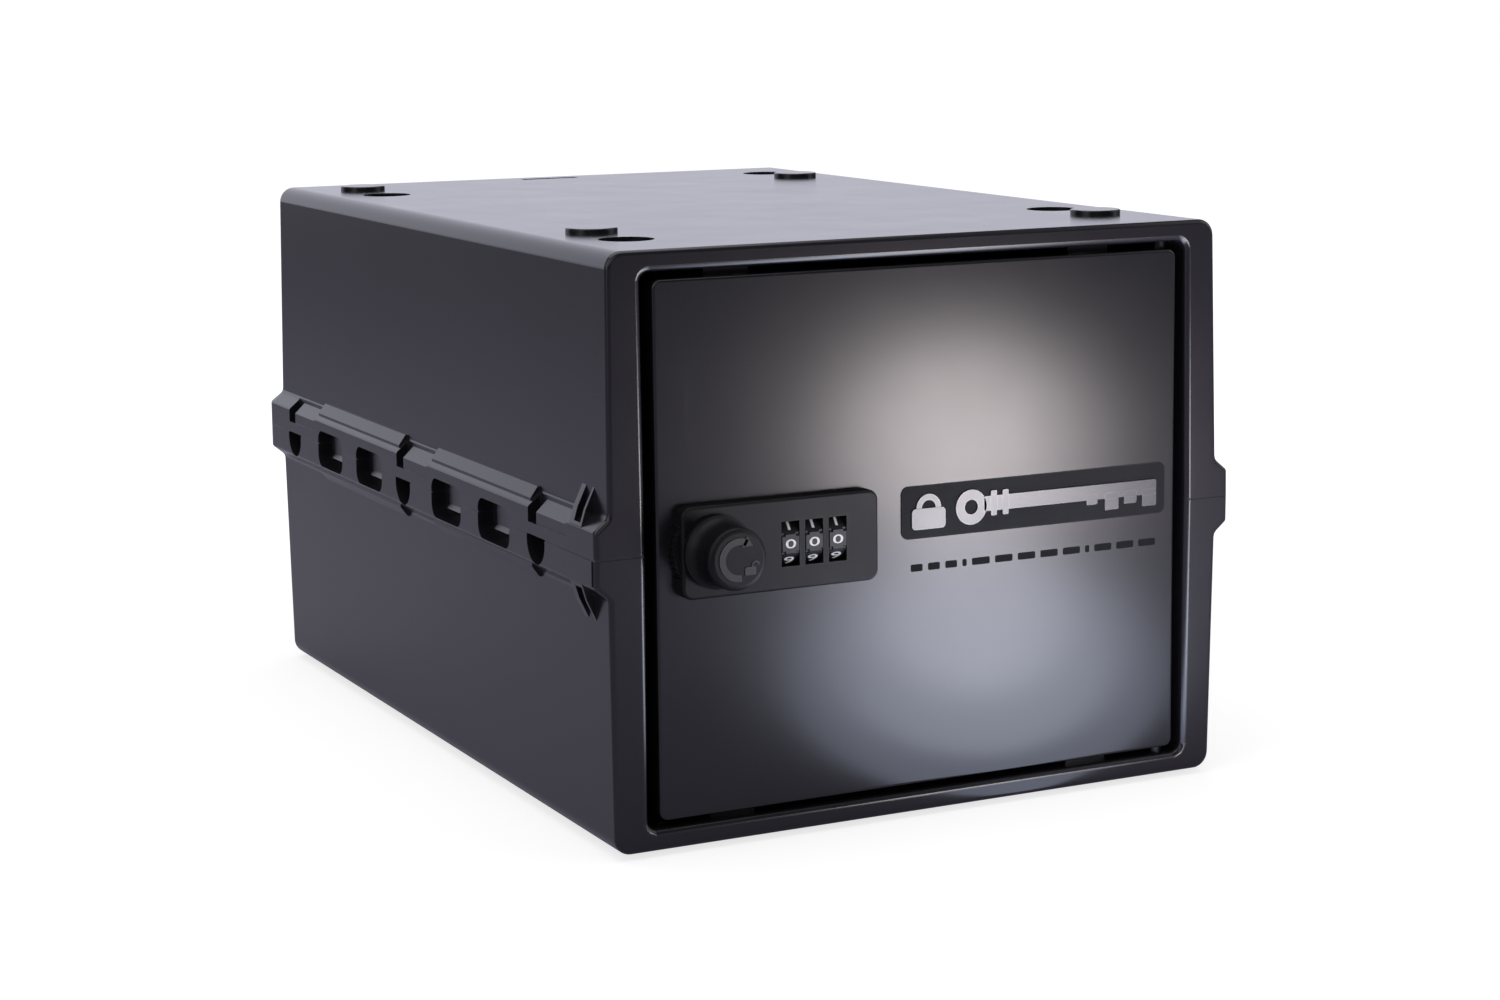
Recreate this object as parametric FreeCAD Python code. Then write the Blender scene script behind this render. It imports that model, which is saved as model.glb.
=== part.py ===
"""Front-opening lockable storage box: two clipped half shells, a side-hung door and a dial lock.

Units are millimetres. +Z is up, the door faces -Y, and the hinge is on the +X side.
The origin is on the floor, under the centre of the body.
"""
import FreeCAD
import Part
import math
import os

V = FreeCAD.Vector
X_AXIS, Y_AXIS, Z_AXIS = V(1, 0, 0), V(0, 1, 0), V(0, 0, 1)

# ---------------------------------------------------------------- driving sizes

# Body, measured at its top; every wall leans out by DRAFT on the way to the seam
BODY_W = 200.0
BODY_D = 295.0
BODY_H = 170.0
DRAFT = 1.2
WALL = 3.0
LONG_EDGE_R = 5.0      # long and rear outer edges
FRONT_EDGE_R = 1.4     # front outline

# Pegs that are feet below and locate a second box above
PEG_R = 7.7
PEG_H = 1.7
PEG_SIDE = 21.0        # centre line to the side of the body
PEG_END = 33.5         # outer row to the front or back
PEG_PITCH = 25.0
RECESS_GAP = 0.4       # radial clearance of a peg in a recess
RECESS_EXTRA = 1.7     # recess depth beyond the peg
RECESS_FLOOR = 1.8
RECESS_WALL = 1.8
PEG_EDGE_R = 0.4
REAR_SLOT_L = 21.5
REAR_SLOT_W = 4.0
REAR_SLOT_DEPTH = 1.4
REAR_SLOT_END = 13.5   # slot centre to the back edge

# Clip flange round the seam
FLANGE_OUT = 4.1
FLANGE_FLAT = 8.0      # straight part, each side of the seam
FLANGE_SLOPE = 3.4     # sloping part above it
FLANGE_EDGE_R = 1.2    # brow of the flange
FLANGE_ROOT_R = 2.4    # where its slope meets the wall
SEAM_GROOVE = 0.25     # half width and depth of the parting line groove

# Clip stations along each side flange
STATION_FRONT = 33.5   # foremost station centre to the front
STATION_REAR = 37.5    # rearmost station centre to the back
STATION_COUNT = 3
NOTCH_L = 28.0
NOTCH_FLOOR = 3.6      # notch floor above the seam
TAB_FROM_END = 5.2     # open part of a notch behind its tab
TAB_GAP = 0.9
TAB_INSET = 0.5
KEYWAY_L = 13.5        # U-shaped opening under each notch
KEYWAY_H = 8.2
KEYWAY_SHIFT = 8.5
WINDOW_L = 25.5        # clip windows between the stations
WINDOW_HIGH = 7.6      # deep side of a window
WINDOW_LOW = 4.8       # shallow side of a window
WINDOW_PITCH = 40.0
WINDOW_SHIFT = 5.5
POCKET_DEPTH = 5.2
POCKET_R = 3.9
TONGUE_L = 11.0
TONGUE_T = 1.4
TONGUE_INSET = 3.4
TONGUE_BELOW = 5.4     # tongue reach past the seam
TONGUE_NOSE = 0.9
PAD_L = 25.0
PAD_PROUD = 0.4
FIN_BACK = 8.6         # fin front face to the front of the body
FIN_T = 8.4
FIN_REAR_T = 2.8       # rear blade of a fin
FIN_FRONT_T = 1.1
FIN_FOOT = 1.2         # upright part of a fin's outer edge
FIN_BELLY = 0.7        # how far that edge bows out
FIN_TIP_OUT = 0.9
RAIL_OUT = 2.7         # rail on the flange slope, beyond the body's side
RAIL_LIP = 0.4
RAIL_UP = 1.1          # rail above the straight part of the flange
RAIL_T = 1.0
RAIL_H = 4.2
RAIL_FROM_NOTCH = 1.2
FIN_H = 19.0           # fin tip above the seam

# Front frame and door opening
FRAME_SIDE = 10.25     # frame face width at the sides
FRAME_END = 6.2        # frame face width at top and bottom
FRAME_RETURN = 3.0     # thickness of the wall that runs back from the face
FRAME_DEPTH = 21.4     # door face to the rear of that wall
FRAME_INNER_R = 1.8
OPENING_R = 3.0
STOP_T = 3.0
STOP_L = 14.0
STOP_FROM_CENTRE = 60.0

# Door
DOOR_GAP_SIDE = 3.4
DOOR_GAP_END = 2.2
DOOR_SKIN = 3.0
DOOR_PAN = 8.0
DOOR_WALL = 2.4
DOOR_R = 2.6
DOOR_EDGE_R = 0.9
DOOR_RIB_T = 1.8
DOOR_RIB_H = 3.2
HINGE_FROM_EDGE = 3.4
HINGE_FROM_FACE = 4.7
HINGE_PIN_R = 2.0
HINGE_PIN_L = 16.0
HINGE_PIN_IN_SHELL = 4.0
KNUCKLE_H = 13.0
KNUCKLE_W = 7.4
RUNNING = 0.05         # radial clearance of every turning fit

# Name plate
NAME_L = 91.2
NAME_H = 15.6
NAME_T = 0.8
NAME_PROUD = 0.3
NAME_R = 2.4
NAME_FROM_EDGE = 3.7   # plate end to the hinge-side edge of the door
NAME_ABOVE_SEAM = 4.4

# Lock faceplate
PLATE_H = 26.4
PLATE_T = 4.2
PLATE_SKIN = 1.5
PLATE_RIM = 1.5
PLATE_R = 3.2
PLATE_EDGE_R = 0.9
PLATE_FROM_EDGE = 6.1  # plate to the free edge of the door
SLIP = 0.2             # clearance between flat faces that slide

# Knob, spindle and latch
KNOB_FROM_PLATE = 10.6
KNOB_BASE_R = 10.5
KNOB_WAIST_R = 8.1
KNOB_HEAD_R = 8.9
KNOB_L = 13.6
KNOB_BASE_T = 1.6
CAP_R = 7.7
CAP_T = 1.0
CAP_PROUD = 0.3
THUMB_R = 12.6
THUMB_T = 2.2
THUMB_TEETH = 44
THUMB_TOOTH = 0.45
SPINDLE_R = 3.5
JOURNAL_R = 3.0
TAIL_SQUARE = 4.2
COLLAR_R = 5.0
COLLAR_T = 3.6
LIFT = 1.35            # slider travel in a quarter turn
FOOT_GAP = 0.3
LATCH_L = 26.0         # spindle axis to the latch tip
LATCH_W = 14.0
LATCH_T = 2.0
WASHER_R = 5.0
WASHER_T = 0.8
LATCH_SCREW_R = 1.25
LATCH_SCREW_HEAD_R = 3.4
LATCH_SCREW_HEAD = 1.9
LATCH_SCREW_L = 7.0

# Digit wheels and sleeves
WHEEL_COUNT = 3
WHEEL_PITCH = 7.55
WHEEL_W = 5.3
WHEEL_R = 8.75         # corner radius of the ten-sided wheel
WHEEL_PROUD = 0.65
WHEEL_FROM_KNOB = 23.05  # knob axis to the first wheel
WHEEL_TO_END = 13.25   # last wheel to the hinge-side end of the plate
DIGITS = 10
WINDOW_SLOT_W = 5.8
WINDOW_SLOT_H = 13.0
SLEEVE_R = 4.5
SLEEVE_DISC_UNDER = 2.25  # disc rim below the corners of the wheel
SLEEVE_DISC_T = 0.6
SLEEVE_DISC_OFF = 0.8  # wheel face to the disc
AXLE_R = 2.0
GATE_R = 4.6           # bottom of the gate in each disc
GATE_W = 2.4
TOOTH_T = 0.5
TOOTH_W = 1.8
TOOTH_TIP_R = 5.0
TOOTH_OFF = 1.5        # wheel face to the tooth, lock open

# Lock housing
HOUSING_WALL = 1.8
HOUSING_H = 21.4
HOUSING_D = 19.4
HOUSING_INSET = 0.1    # housing front behind the door face
HOUSING_END = 3.5      # housing to the plate's free-side end
FLANGE_T = 2.0
FLANGE_H = 29.0
FLANGE_LIP = 1.0       # flange beyond each end of the plate
CUT_GAP = 0.3          # door cut-out round the housing
SCREW_R = 1.5
SCREW_HEAD_R = 2.5
SCREW_HEAD = 1.8
SCREW_FROM_END = 3.8
SCREW_OFF_CENTRE = 8.0
BOSS_R = 2.3
COVER_T = 2.0
COVER_SCREW_R = 1.0
COVER_SCREW_HEAD_R = 1.9
COVER_SCREW_HEAD = 1.1
COVER_SCREW_L = 6.0
SINK_GAP = 0.1         # round a sunk screw head, and above it
SLIDER_T = 1.8
SLIDER_H = 3.6
SLIDER_GAP = 0.3
SPRING_T = 0.35
RESET_ARM_L = 9.0
RESET_ARM_W = 3.2
RESET_ARM_T = 1.5
RESET_PIN_R = 1.5

# ---------------------------------------------------------------- derived places

SEAM_Z = PEG_H + BODY_H / 2
TOP_Z = PEG_H + BODY_H
HALF_H = BODY_H / 2
FRONT_Y = -BODY_D / 2 - DRAFT          # front of the body at the seam
BACK_Y = BODY_D / 2 + DRAFT
SIDE_X = BODY_W / 2 + DRAFT
FLANGE_X = SIDE_X + FLANGE_OUT
FLANGE_Y = BACK_Y + FLANGE_OUT

OPENING_W = BODY_W - 2 * FRAME_SIDE
OPENING_H = BODY_H - 2 * FRAME_END
DOOR_W = OPENING_W - 2 * DOOR_GAP_SIDE
DOOR_H = OPENING_H - 2 * DOOR_GAP_END
DOOR_Y = -BODY_D / 2                   # front face of the door
DOOR_BACK_Y = DOOR_Y + DOOR_PAN
DOOR_EDGE_X = DOOR_W / 2
FRAME_REAR_Y = DOOR_Y + FRAME_DEPTH
HINGE_X = DOOR_EDGE_X - HINGE_FROM_EDGE
HINGE_Y = DOOR_Y + HINGE_FROM_FACE

PLATE_X0 = -DOOR_EDGE_X + PLATE_FROM_EDGE
PLATE_Y = DOOR_Y - PLATE_T             # front face of the faceplate
PLATE_BACK_Y = PLATE_Y + PLATE_SKIN    # rear of the faceplate's skin
KNOB_X = PLATE_X0 + KNOB_FROM_PLATE
AXLE_Y = PLATE_Y + WHEEL_R - WHEEL_PROUD
SLEEVE_DISC_R = WHEEL_R - SLEEVE_DISC_UNDER
WHEEL_XS = [KNOB_X + WHEEL_FROM_KNOB + i * WHEEL_PITCH for i in range(WHEEL_COUNT)]
MIDDLE_WHEEL_X = WHEEL_XS[WHEEL_COUNT // 2]
PLATE_X1 = WHEEL_XS[-1] + WHEEL_TO_END
WHEEL_NAMES = ["left", "middle", "right"]

HOUSING_Y0 = DOOR_Y + HOUSING_INSET
HOUSING_Y1 = HOUSING_Y0 + HOUSING_D
HOUSING_X0 = PLATE_X0 + HOUSING_END
CHAMBER_X0 = WHEEL_XS[0] - WHEEL_W / 2 - 4 * SLIP
CHAMBER_X1 = WHEEL_XS[-1] + WHEEL_W / 2 + TOOTH_OFF + TOOTH_T + 2 * SLIP
HOUSING_X1 = CHAMBER_X1 + HOUSING_WALL
CHAMBER_H = HOUSING_H - 2 * HOUSING_WALL + 0.4
FLANGE_Y0 = DOOR_Y + DOOR_SKIN
SLIDER_Y0 = AXLE_Y + WHEEL_R + 4 * SLIP
SLIDER_Y1 = SLIDER_Y0 + SLIDER_T
COLLAR_Y0 = (SLIDER_Y0 + SLIDER_Y1) / 2 - COLLAR_T / 2
COLLAR_Y1 = COLLAR_Y0 + COLLAR_T
COVER_Y0 = HOUSING_Y1
COVER_Y1 = COVER_Y0 + COVER_T
COVER_SEAT_Y = COVER_Y1 - COVER_SCREW_HEAD - SINK_GAP
LATCH_Y0 = COVER_Y1 + 2 * SLIP
LATCH_Y1 = LATCH_Y0 + LATCH_T
SCREW_X = PLATE_X1 - SCREW_FROM_END
FOOT_X = KNOB_X + COLLAR_R + LIFT + FOOT_GAP


# ---------------------------------------------------------------- helpers

def box(x0, x1, y0, y1, z0, z1):
    """Box between two corners."""
    return Part.makeBox(x1 - x0, y1 - y0, z1 - z0, V(x0, y0, z0))


def cyl_y(x, z, r, y0, y1):
    """Cylinder along Y."""
    return Part.makeCylinder(r, y1 - y0, V(x, y0, z), Y_AXIS)


def cyl_x(y, z, r, x0, x1):
    """Cylinder along X."""
    return Part.makeCylinder(r, x1 - x0, V(x0, y, z), X_AXIS)


def cyl_z(x, y, r, z0, z1):
    """Cylinder along Z."""
    return Part.makeCylinder(r, z1 - z0, V(x, y, z0), Z_AXIS)


def prism(points, direction):
    """Straight-sided outline of 3-D points, pushed along a vector."""
    return Part.Face(Part.makePolygon(points + points[:1])).extrude(direction)


def edges_where(shape, test):
    """Edges whose bounding box passes a test."""
    return [e for e in shape.Edges if test(e.BoundBox)]


def rounded_plate(x0, x1, y0, y1, z0, z1, r):
    """Plate facing -Y with its four corners rounded."""
    block = box(x0, x1, y0, y1, z0, z1)
    corners = edges_where(block, lambda b: b.YLength > 0.9 * (y1 - y0) and b.XLength < 1e-3
                          and b.ZLength < 1e-3)
    return block.makeFillet(r, corners)


def turned(shape):
    """The same shape turned half a turn about the depth axis at seam height."""
    copy = shape.copy()
    copy.rotate(V(0, 0, SEAM_Z), Y_AXIS, 180)
    return copy


def fused(shapes):
    """One shape from several, with shared faces merged."""
    result = shapes[0].fuse(shapes[1:]) if len(shapes) > 1 else shapes[0]
    return result.removeSplitter()


def save(name, shape):
    """Write one node."""
    shape.exportStep(os.path.join("parts", name + ".step"))
    print(name, len(shape.Solids), round(shape.Volume, 1), shape.isValid())


# ---------------------------------------------------------------- half shell

def leaning_block(inset):
    """Upper half of the body, or of its cavity, with walls that lean out towards the seam."""
    x1 = BODY_W / 2 - inset
    y1 = BODY_D / 2 - inset
    x0, y0 = x1 + DRAFT, y1 + DRAFT
    block = Part.makeWedge(-x0, SEAM_Z, -y0, -y1, -x1, x0, TOP_Z - inset, y0, y1, x1)
    block.rotate(V(0, 0, 0), X_AXIS, 90)
    return block


def flange_outline(inset, z):
    """Outline of the clip flange at one height, with round rear corners, open past the front."""
    x = FLANGE_X - inset
    y0, y1 = FRONT_Y - FLANGE_OUT, FLANGE_Y - inset
    r = LONG_EDGE_R + FLANGE_OUT - inset
    k = r * (1 - math.sqrt(0.5))
    return Part.Wire([
        Part.makeLine(V(-x, y0, z), V(x, y0, z)),
        Part.makeLine(V(x, y0, z), V(x, y1 - r, z)),
        Part.Arc(V(x, y1 - r, z), V(x - k, y1 - k, z), V(x - r, y1, z)).toShape(),
        Part.makeLine(V(x - r, y1, z), V(-x + r, y1, z)),
        Part.Arc(V(-x + r, y1, z), V(-x + k, y1 - k, z), V(-x, y1 - r, z)).toShape(),
        Part.makeLine(V(-x, y1 - r, z), V(-x, y0, z))])


def flange_slab():
    """Straight-sided clip flange with a sloping top that runs into the walls."""
    z1 = SEAM_Z + FLANGE_FLAT
    bury = 0.4
    rise = FLANGE_SLOPE * (FLANGE_OUT + bury) / FLANGE_OUT
    straight = Part.Face(flange_outline(0, SEAM_Z)).extrude(V(0, 0, FLANGE_FLAT))
    slope = Part.makeLoft([flange_outline(0, z1), flange_outline(FLANGE_OUT + bury, z1 + rise)],
                          True, True)
    slab = straight.fuse(slope).removeSplitter()
    brow = edges_where(slab, lambda b: abs(b.ZMin - z1) < 1e-3 and b.ZLength < 1e-3
                       and b.YMax > FRONT_Y)
    return slab.makeFillet(FLANGE_EDGE_R, brow).cut(front_waste())


def body_outside():
    """Outside of the upper half: rounded block and flange, with the front outline eased."""
    block = leaning_block(0.0)
    soft = edges_where(block, lambda b: (b.ZMin > TOP_Z - 1 and b.YLength > BODY_D - 1)
                       or (b.YMin > 0 and (b.ZMin > TOP_Z - 1 or b.ZLength > HALF_H - 1)))
    whole = block.makeFillet(LONG_EDGE_R, soft).fuse(flange_slab()).removeSplitter()
    z2 = SEAM_Z + FLANGE_FLAT + FLANGE_SLOPE
    root = edges_where(whole, lambda b: z2 - 1 < b.ZMin and b.ZMax < z2 + 1 and b.YMax > FRONT_Y + 1
                       and max(b.XLength, b.YLength) > 1)
    whole = whole.makeFillet(FLANGE_ROOT_R, root)
    outline = edges_where(whole, lambda b: b.YMax < -BODY_D / 2 + 1 and b.ZMax > SEAM_Z + 1e-3)
    return whole.makeFillet(FRONT_EDGE_R, outline)


def front_waste():
    """Everything in front of the leaning front face, upper half."""
    x = FLANGE_X + 10
    z1 = TOP_Z + 10
    y1 = -BODY_D / 2 + DRAFT * (z1 - TOP_Z) / HALF_H
    far = FRONT_Y - 20
    return prism([V(-x, FRONT_Y, SEAM_Z), V(-x, y1, z1), V(-x, far, z1), V(-x, far, SEAM_Z)],
                 V(2 * x, 0, 0))


def frame_ring():
    """Wall that runs back round the door opening, joined to the top wall."""
    x = OPENING_W / 2 + FRAME_RETURN
    z1 = TOP_Z - WALL / 2
    return box(-x, x, -BODY_D / 2 + WALL / 2, FRAME_REAR_Y, SEAM_Z, z1)


def door_opening():
    """The hole that the door fills, with rounded corners, through the frame."""
    x = OPENING_W / 2
    z1 = SEAM_Z + OPENING_H / 2
    z0 = SEAM_Z - OPENING_H / 2
    return rounded_plate(-x, x, FRONT_Y - 1, FRAME_REAR_Y + 1, z0, z1, OPENING_R)


def peg_places():
    """Centres of the pegs on the end face of the shell; recesses are their mirror images in X."""
    x = BODY_W / 2 - PEG_SIDE
    outer = BODY_D / 2 - PEG_END
    inner = outer - PEG_PITCH
    return [(-x, -inner), (x, -outer), (-x, outer), (x, inner)]


def station_ys():
    """Clip station centres along the side, front to back."""
    first = -BODY_D / 2 + STATION_FRONT
    last = BODY_D / 2 - STATION_REAR
    step = (last - first) / (STATION_COUNT - 1)
    return [first + i * step for i in range(STATION_COUNT)]


def window_ys():
    """Clip window centres: two between each pair of stations."""
    stations = station_ys()
    centres = []
    for a, b in zip(stations, stations[1:]):
        middle = (a + b) / 2 + WINDOW_SHIFT
        centres += [middle - WINDOW_PITCH / 2, middle + WINDOW_PITCH / 2]
    return centres


def side_pocket(side, y, length, depth, z_up, r):
    """Pocket in a side flange from the seam up, with its upper corners rounded."""
    x_out = side * (FLANGE_X + 1)
    x_in = side * (FLANGE_X - depth)
    x0, x1 = min(x_out, x_in), max(x_out, x_in)
    block = box(x0, x1, y - length / 2, y + length / 2, SEAM_Z - 1, SEAM_Z + z_up)
    upper = edges_where(block, lambda b: b.XLength > 1 and b.ZMin > SEAM_Z + z_up - 1e-3)
    return block.makeFillet(min(r, 0.98 * z_up, 0.49 * length), upper)


def side_notch(y):
    """Notch in the top of the -X flange with a sloping tab left standing in it."""
    wall_x = -SIDE_X + DRAFT * NOTCH_FLOOR / HALF_H - 0.1
    cut = box(-FLANGE_X - 1, wall_x, y - NOTCH_L / 2, y + NOTCH_L / 2, SEAM_Z + NOTCH_FLOOR,
              SEAM_Z + FLANGE_FLAT + FLANGE_SLOPE + 1)
    tab_y = y - NOTCH_L / 2 + TAB_GAP
    tab_l = NOTCH_L - TAB_GAP - TAB_FROM_END
    low = SEAM_Z + NOTCH_FLOOR
    brow = SEAM_Z + FLANGE_FLAT
    tab = prism([V(wall_x, tab_y, low), V(-FLANGE_X + TAB_INSET, tab_y, low),
                 V(-FLANGE_X + TAB_INSET, tab_y, brow - 2 * TAB_INSET),
                 V(wall_x, tab_y, brow + FLANGE_SLOPE - 2 * TAB_INSET)], V(0, tab_l, 0))
    return cut.cut(tab)


def tongue(y):
    """Clip tongue in a window of the -X flange, hanging past the seam with a hooked nose."""
    x0 = -FLANGE_X + TONGUE_INSET
    roof = SEAM_Z + WINDOW_LOW + 0.5
    low = SEAM_Z - TONGUE_BELOW
    points = [V(x0, y, roof), V(x0 + TONGUE_T, y, roof), V(x0 + TONGUE_T, y, low), V(x0, y, low),
              V(x0 - TONGUE_NOSE, y, low + 1.2), V(x0, y, low + 2.6)]
    return prism([p - V(0, TONGUE_L / 2, 0) for p in points], V(0, TONGUE_L, 0))


def fin(side):
    """Pair of wedge blades that brace the flange against the wall just behind the front frame."""
    y1 = -BODY_D / 2 + FIN_BACK
    wall = side * (BODY_W / 2 - 0.5)
    out = side * (FLANGE_X - 0.1)
    lean = side * (BODY_W / 2 + FIN_TIP_OUT)
    low = SEAM_Z + FLANGE_FLAT - 1
    tip = SEAM_Z + FIN_H
    points = [V(wall, y1, low), V(out, y1, low), V(out, y1, low + FIN_FOOT),
              V((out + lean) / 2 + side * FIN_BELLY, y1, (low + tip) / 2), V(lean, y1, tip),
              V(wall, y1, tip)]
    wedge = prism(points, V(0, FIN_T, 0))
    x0, x1 = sorted((side * (BODY_W / 2 + 0.7), side * (FLANGE_X + 1)))
    return wedge.cut(box(x0, x1, y1 + FIN_FRONT_T, y1 + FIN_T - FIN_REAR_T, low + FIN_FOOT + 1, tip + 1))


def brow_rail(side, y0, y1):
    """Raised strip along the slope of a side flange."""
    wall, out, lip = side * (SIDE_X - 1), side * (SIDE_X + RAIL_OUT), side * (SIDE_X + RAIL_LIP)
    low = SEAM_Z + FLANGE_FLAT + RAIL_UP
    points = [V(wall, y0, low), V(out, y0, low), V(out, y0, low + RAIL_T), V(lip, y0, low + RAIL_H),
              V(wall, y0, low + RAIL_H)]
    return prism(points, V(0, y1 - y0, 0))


def seam_groove():
    """Shallow bevel that marks the parting line round the outside."""
    g = SEAM_GROOVE
    outer = box(-FLANGE_X - 1, FLANGE_X + 1, FRONT_Y - 1, FLANGE_Y + 1, SEAM_Z - 1, SEAM_Z + g)
    inner = box(-FLANGE_X + g, FLANGE_X - g, FRONT_Y + g, FLANGE_Y - g, SEAM_Z - 2, SEAM_Z + 2)
    return outer.cut(inner)


def half_shell():
    """The moulding used for both halves, in its upper position."""
    shell = body_outside().cut(leaning_block(WALL)).fuse([frame_ring()]).cut(door_opening())
    shell = shell.removeSplitter()
    mouth = edges_where(shell, lambda b: b.YMax < -BODY_D / 2 + 1 and b.ZMax > SEAM_Z + 1e-3
                        and max(-b.XMin, b.XMax) < OPENING_W / 2 + 0.1
                        and b.ZMax < SEAM_Z + OPENING_H / 2 + 0.1)
    shell = shell.makeFillet(FRAME_INNER_R, mouth)
    recess_depth = PEG_H + RECESS_EXTRA
    cup_z = TOP_Z - recess_depth - RECESS_FLOOR
    recess_r = PEG_R + RECESS_GAP
    adds, cuts = [], []
    for x, y in peg_places():
        peg = cyl_z(x, y, PEG_R, TOP_Z - 1, TOP_Z + PEG_H)
        rim = edges_where(peg, lambda b: b.ZMin > TOP_Z + PEG_H - 1e-3)
        adds.append(peg.makeFillet(PEG_EDGE_R, rim))
        adds.append(cyl_z(-x, y, recess_r + RECESS_WALL, cup_z, TOP_Z - 1))
        cuts.append(cyl_z(-x, y, recess_r, TOP_Z - recess_depth, TOP_Z + 1))
    adds += [fin(-1), fin(1)]
    rail_end = NOTCH_L / 2 + RAIL_FROM_NOTCH
    stations = station_ys()
    for a, b in zip(stations, stations[1:]):
        adds += [brow_rail(side, a + rail_end, b - rail_end) for side in (-1, 1)]
    for side in (-1, 1):
        stop_x = side * STOP_FROM_CENTRE
        stop_z = SEAM_Z + OPENING_H / 2
        stop_y = DOOR_BACK_Y + SLIP
        adds.append(box(stop_x - STOP_L / 2, stop_x + STOP_L / 2, stop_y, stop_y + STOP_T,
                        stop_z - DOOR_GAP_END - DOOR_WALL, stop_z + 1))
        cuts.append(cyl_z(side * HINGE_X, HINGE_Y, HINGE_PIN_R, stop_z - 1,
                          stop_z + HINGE_PIN_IN_SHELL))
    pad_y = FRONT_Y + FRONT_EDGE_R + 0.5
    adds.append(box(FLANGE_X - 1, FLANGE_X + PAD_PROUD, pad_y, pad_y + PAD_L, SEAM_Z,
                    SEAM_Z + FLANGE_FLAT - 0.5))
    for y in window_ys():
        cuts.append(side_pocket(-1, y, WINDOW_L, POCKET_DEPTH, WINDOW_LOW, POCKET_R))
        cuts.append(side_pocket(1, y, WINDOW_L, POCKET_DEPTH, WINDOW_HIGH, POCKET_R))
    for y in station_ys():
        cuts.append(side_notch(y))
        cuts.append(side_pocket(1, y + KEYWAY_SHIFT, KEYWAY_L, POCKET_DEPTH, KEYWAY_H, KEYWAY_L / 2))
    slot_y = BODY_D / 2 - REAR_SLOT_END
    cuts.append(box(-REAR_SLOT_L / 2, REAR_SLOT_L / 2, slot_y - REAR_SLOT_W / 2,
                    slot_y + REAR_SLOT_W / 2, TOP_Z - REAR_SLOT_DEPTH, TOP_Z + 1))
    shell = shell.fuse(adds).cut(cuts + [seam_groove()])
    shell = shell.fuse([tongue(y) for y in window_ys()]).removeSplitter()
    return shell


# ---------------------------------------------------------------- door

def door_panel():
    """Pan-shaped door with ribs, two hinge knuckles and the lock cut-out."""
    z0, z1 = SEAM_Z - DOOR_H / 2, SEAM_Z + DOOR_H / 2
    x = DOOR_EDGE_X
    pan = rounded_plate(-x, x, DOOR_Y, DOOR_BACK_Y, z0, z1, DOOR_R)
    rim = edges_where(pan, lambda b: b.YMax < DOOR_Y + 1e-3)
    pan = pan.makeFillet(DOOR_EDGE_R, rim)
    w = DOOR_WALL
    hollow = box(-x + w, x - w, DOOR_Y + DOOR_SKIN, DOOR_BACK_Y + 1, z0 + w, z1 - w)
    pan = pan.cut(hollow)
    rib_y1 = DOOR_Y + DOOR_SKIN + DOOR_RIB_H
    lock_x1 = PLATE_X1 + FLANGE_LIP + 3
    adds = []
    for rib_z in (SEAM_Z - DOOR_H / 4, SEAM_Z + DOOR_H / 4):
        adds.append(box(-x + 1, x - 1, FLANGE_Y0 - 1, rib_y1, rib_z - DOOR_RIB_T / 2,
                        rib_z + DOOR_RIB_T / 2))
    for rib_x in (lock_x1, (lock_x1 + x) / 2):
        adds.append(box(rib_x - DOOR_RIB_T / 2, rib_x + DOOR_RIB_T / 2, FLANGE_Y0 - 1, rib_y1,
                        z0 + 1, z1 - 1))
    for low in (z0 + DOOR_WALL / 2, z1 - DOOR_WALL / 2 - KNUCKLE_H):
        adds.append(box(x - KNUCKLE_W, x - DOOR_WALL / 2, FLANGE_Y0 - 1, DOOR_BACK_Y, low,
                        low + KNUCKLE_H))
    pan = pan.fuse(adds)
    depth = HINGE_PIN_L - HINGE_PIN_IN_SHELL - DOOR_GAP_END + 1
    bores = [cyl_z(HINGE_X, HINGE_Y, HINGE_PIN_R + RUNNING, z1 - depth, z1 + 1),
             cyl_z(HINGE_X, HINGE_Y, HINGE_PIN_R + RUNNING, z0 - 1, z0 + depth)]
    g = CUT_GAP
    half = HOUSING_H / 2 + g
    cutout = rounded_plate(HOUSING_X0 - g, SCREW_X + BOSS_R + g, DOOR_Y - 1, FLANGE_Y0 + 1,
                           SEAM_Z - half, SEAM_Z + half, 1.0)
    name_z = SEAM_Z + NAME_ABOVE_SEAM
    sink = NAME_T - NAME_PROUD
    name_x1 = x - NAME_FROM_EDGE
    seat = rounded_plate(name_x1 - NAME_L, name_x1, DOOR_Y - 1, DOOR_Y + sink,
                         name_z - NAME_H / 2, name_z + NAME_H / 2, NAME_R)
    return pan.cut(bores + [cutout, seat]).removeSplitter()


def name_plate():
    """Thin plate let into the face of the door."""
    x1 = DOOR_EDGE_X - NAME_FROM_EDGE
    z = SEAM_Z + NAME_ABOVE_SEAM
    plate = rounded_plate(x1 - NAME_L, x1, DOOR_Y - NAME_PROUD, DOOR_Y + NAME_T - NAME_PROUD,
                          z - NAME_H / 2, z + NAME_H / 2, NAME_R)
    return plate


def hinge_pin():
    """Upper hinge pin, pressed into the shell and free in the door."""
    top = SEAM_Z + OPENING_H / 2 + HINGE_PIN_IN_SHELL
    pin = cyl_z(HINGE_X, HINGE_Y, HINGE_PIN_R, top - HINGE_PIN_L, top)
    return pin.makeChamfer(0.4, edges_where(pin, lambda b: b.ZLength < 1e-3 and b.XLength > 1))


def mirrored_in_z(shape):
    """The same piece on the other side of the seam plane."""
    return shape.mirror(V(0, 0, SEAM_Z), Z_AXIS)


# ---------------------------------------------------------------- lock

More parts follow.
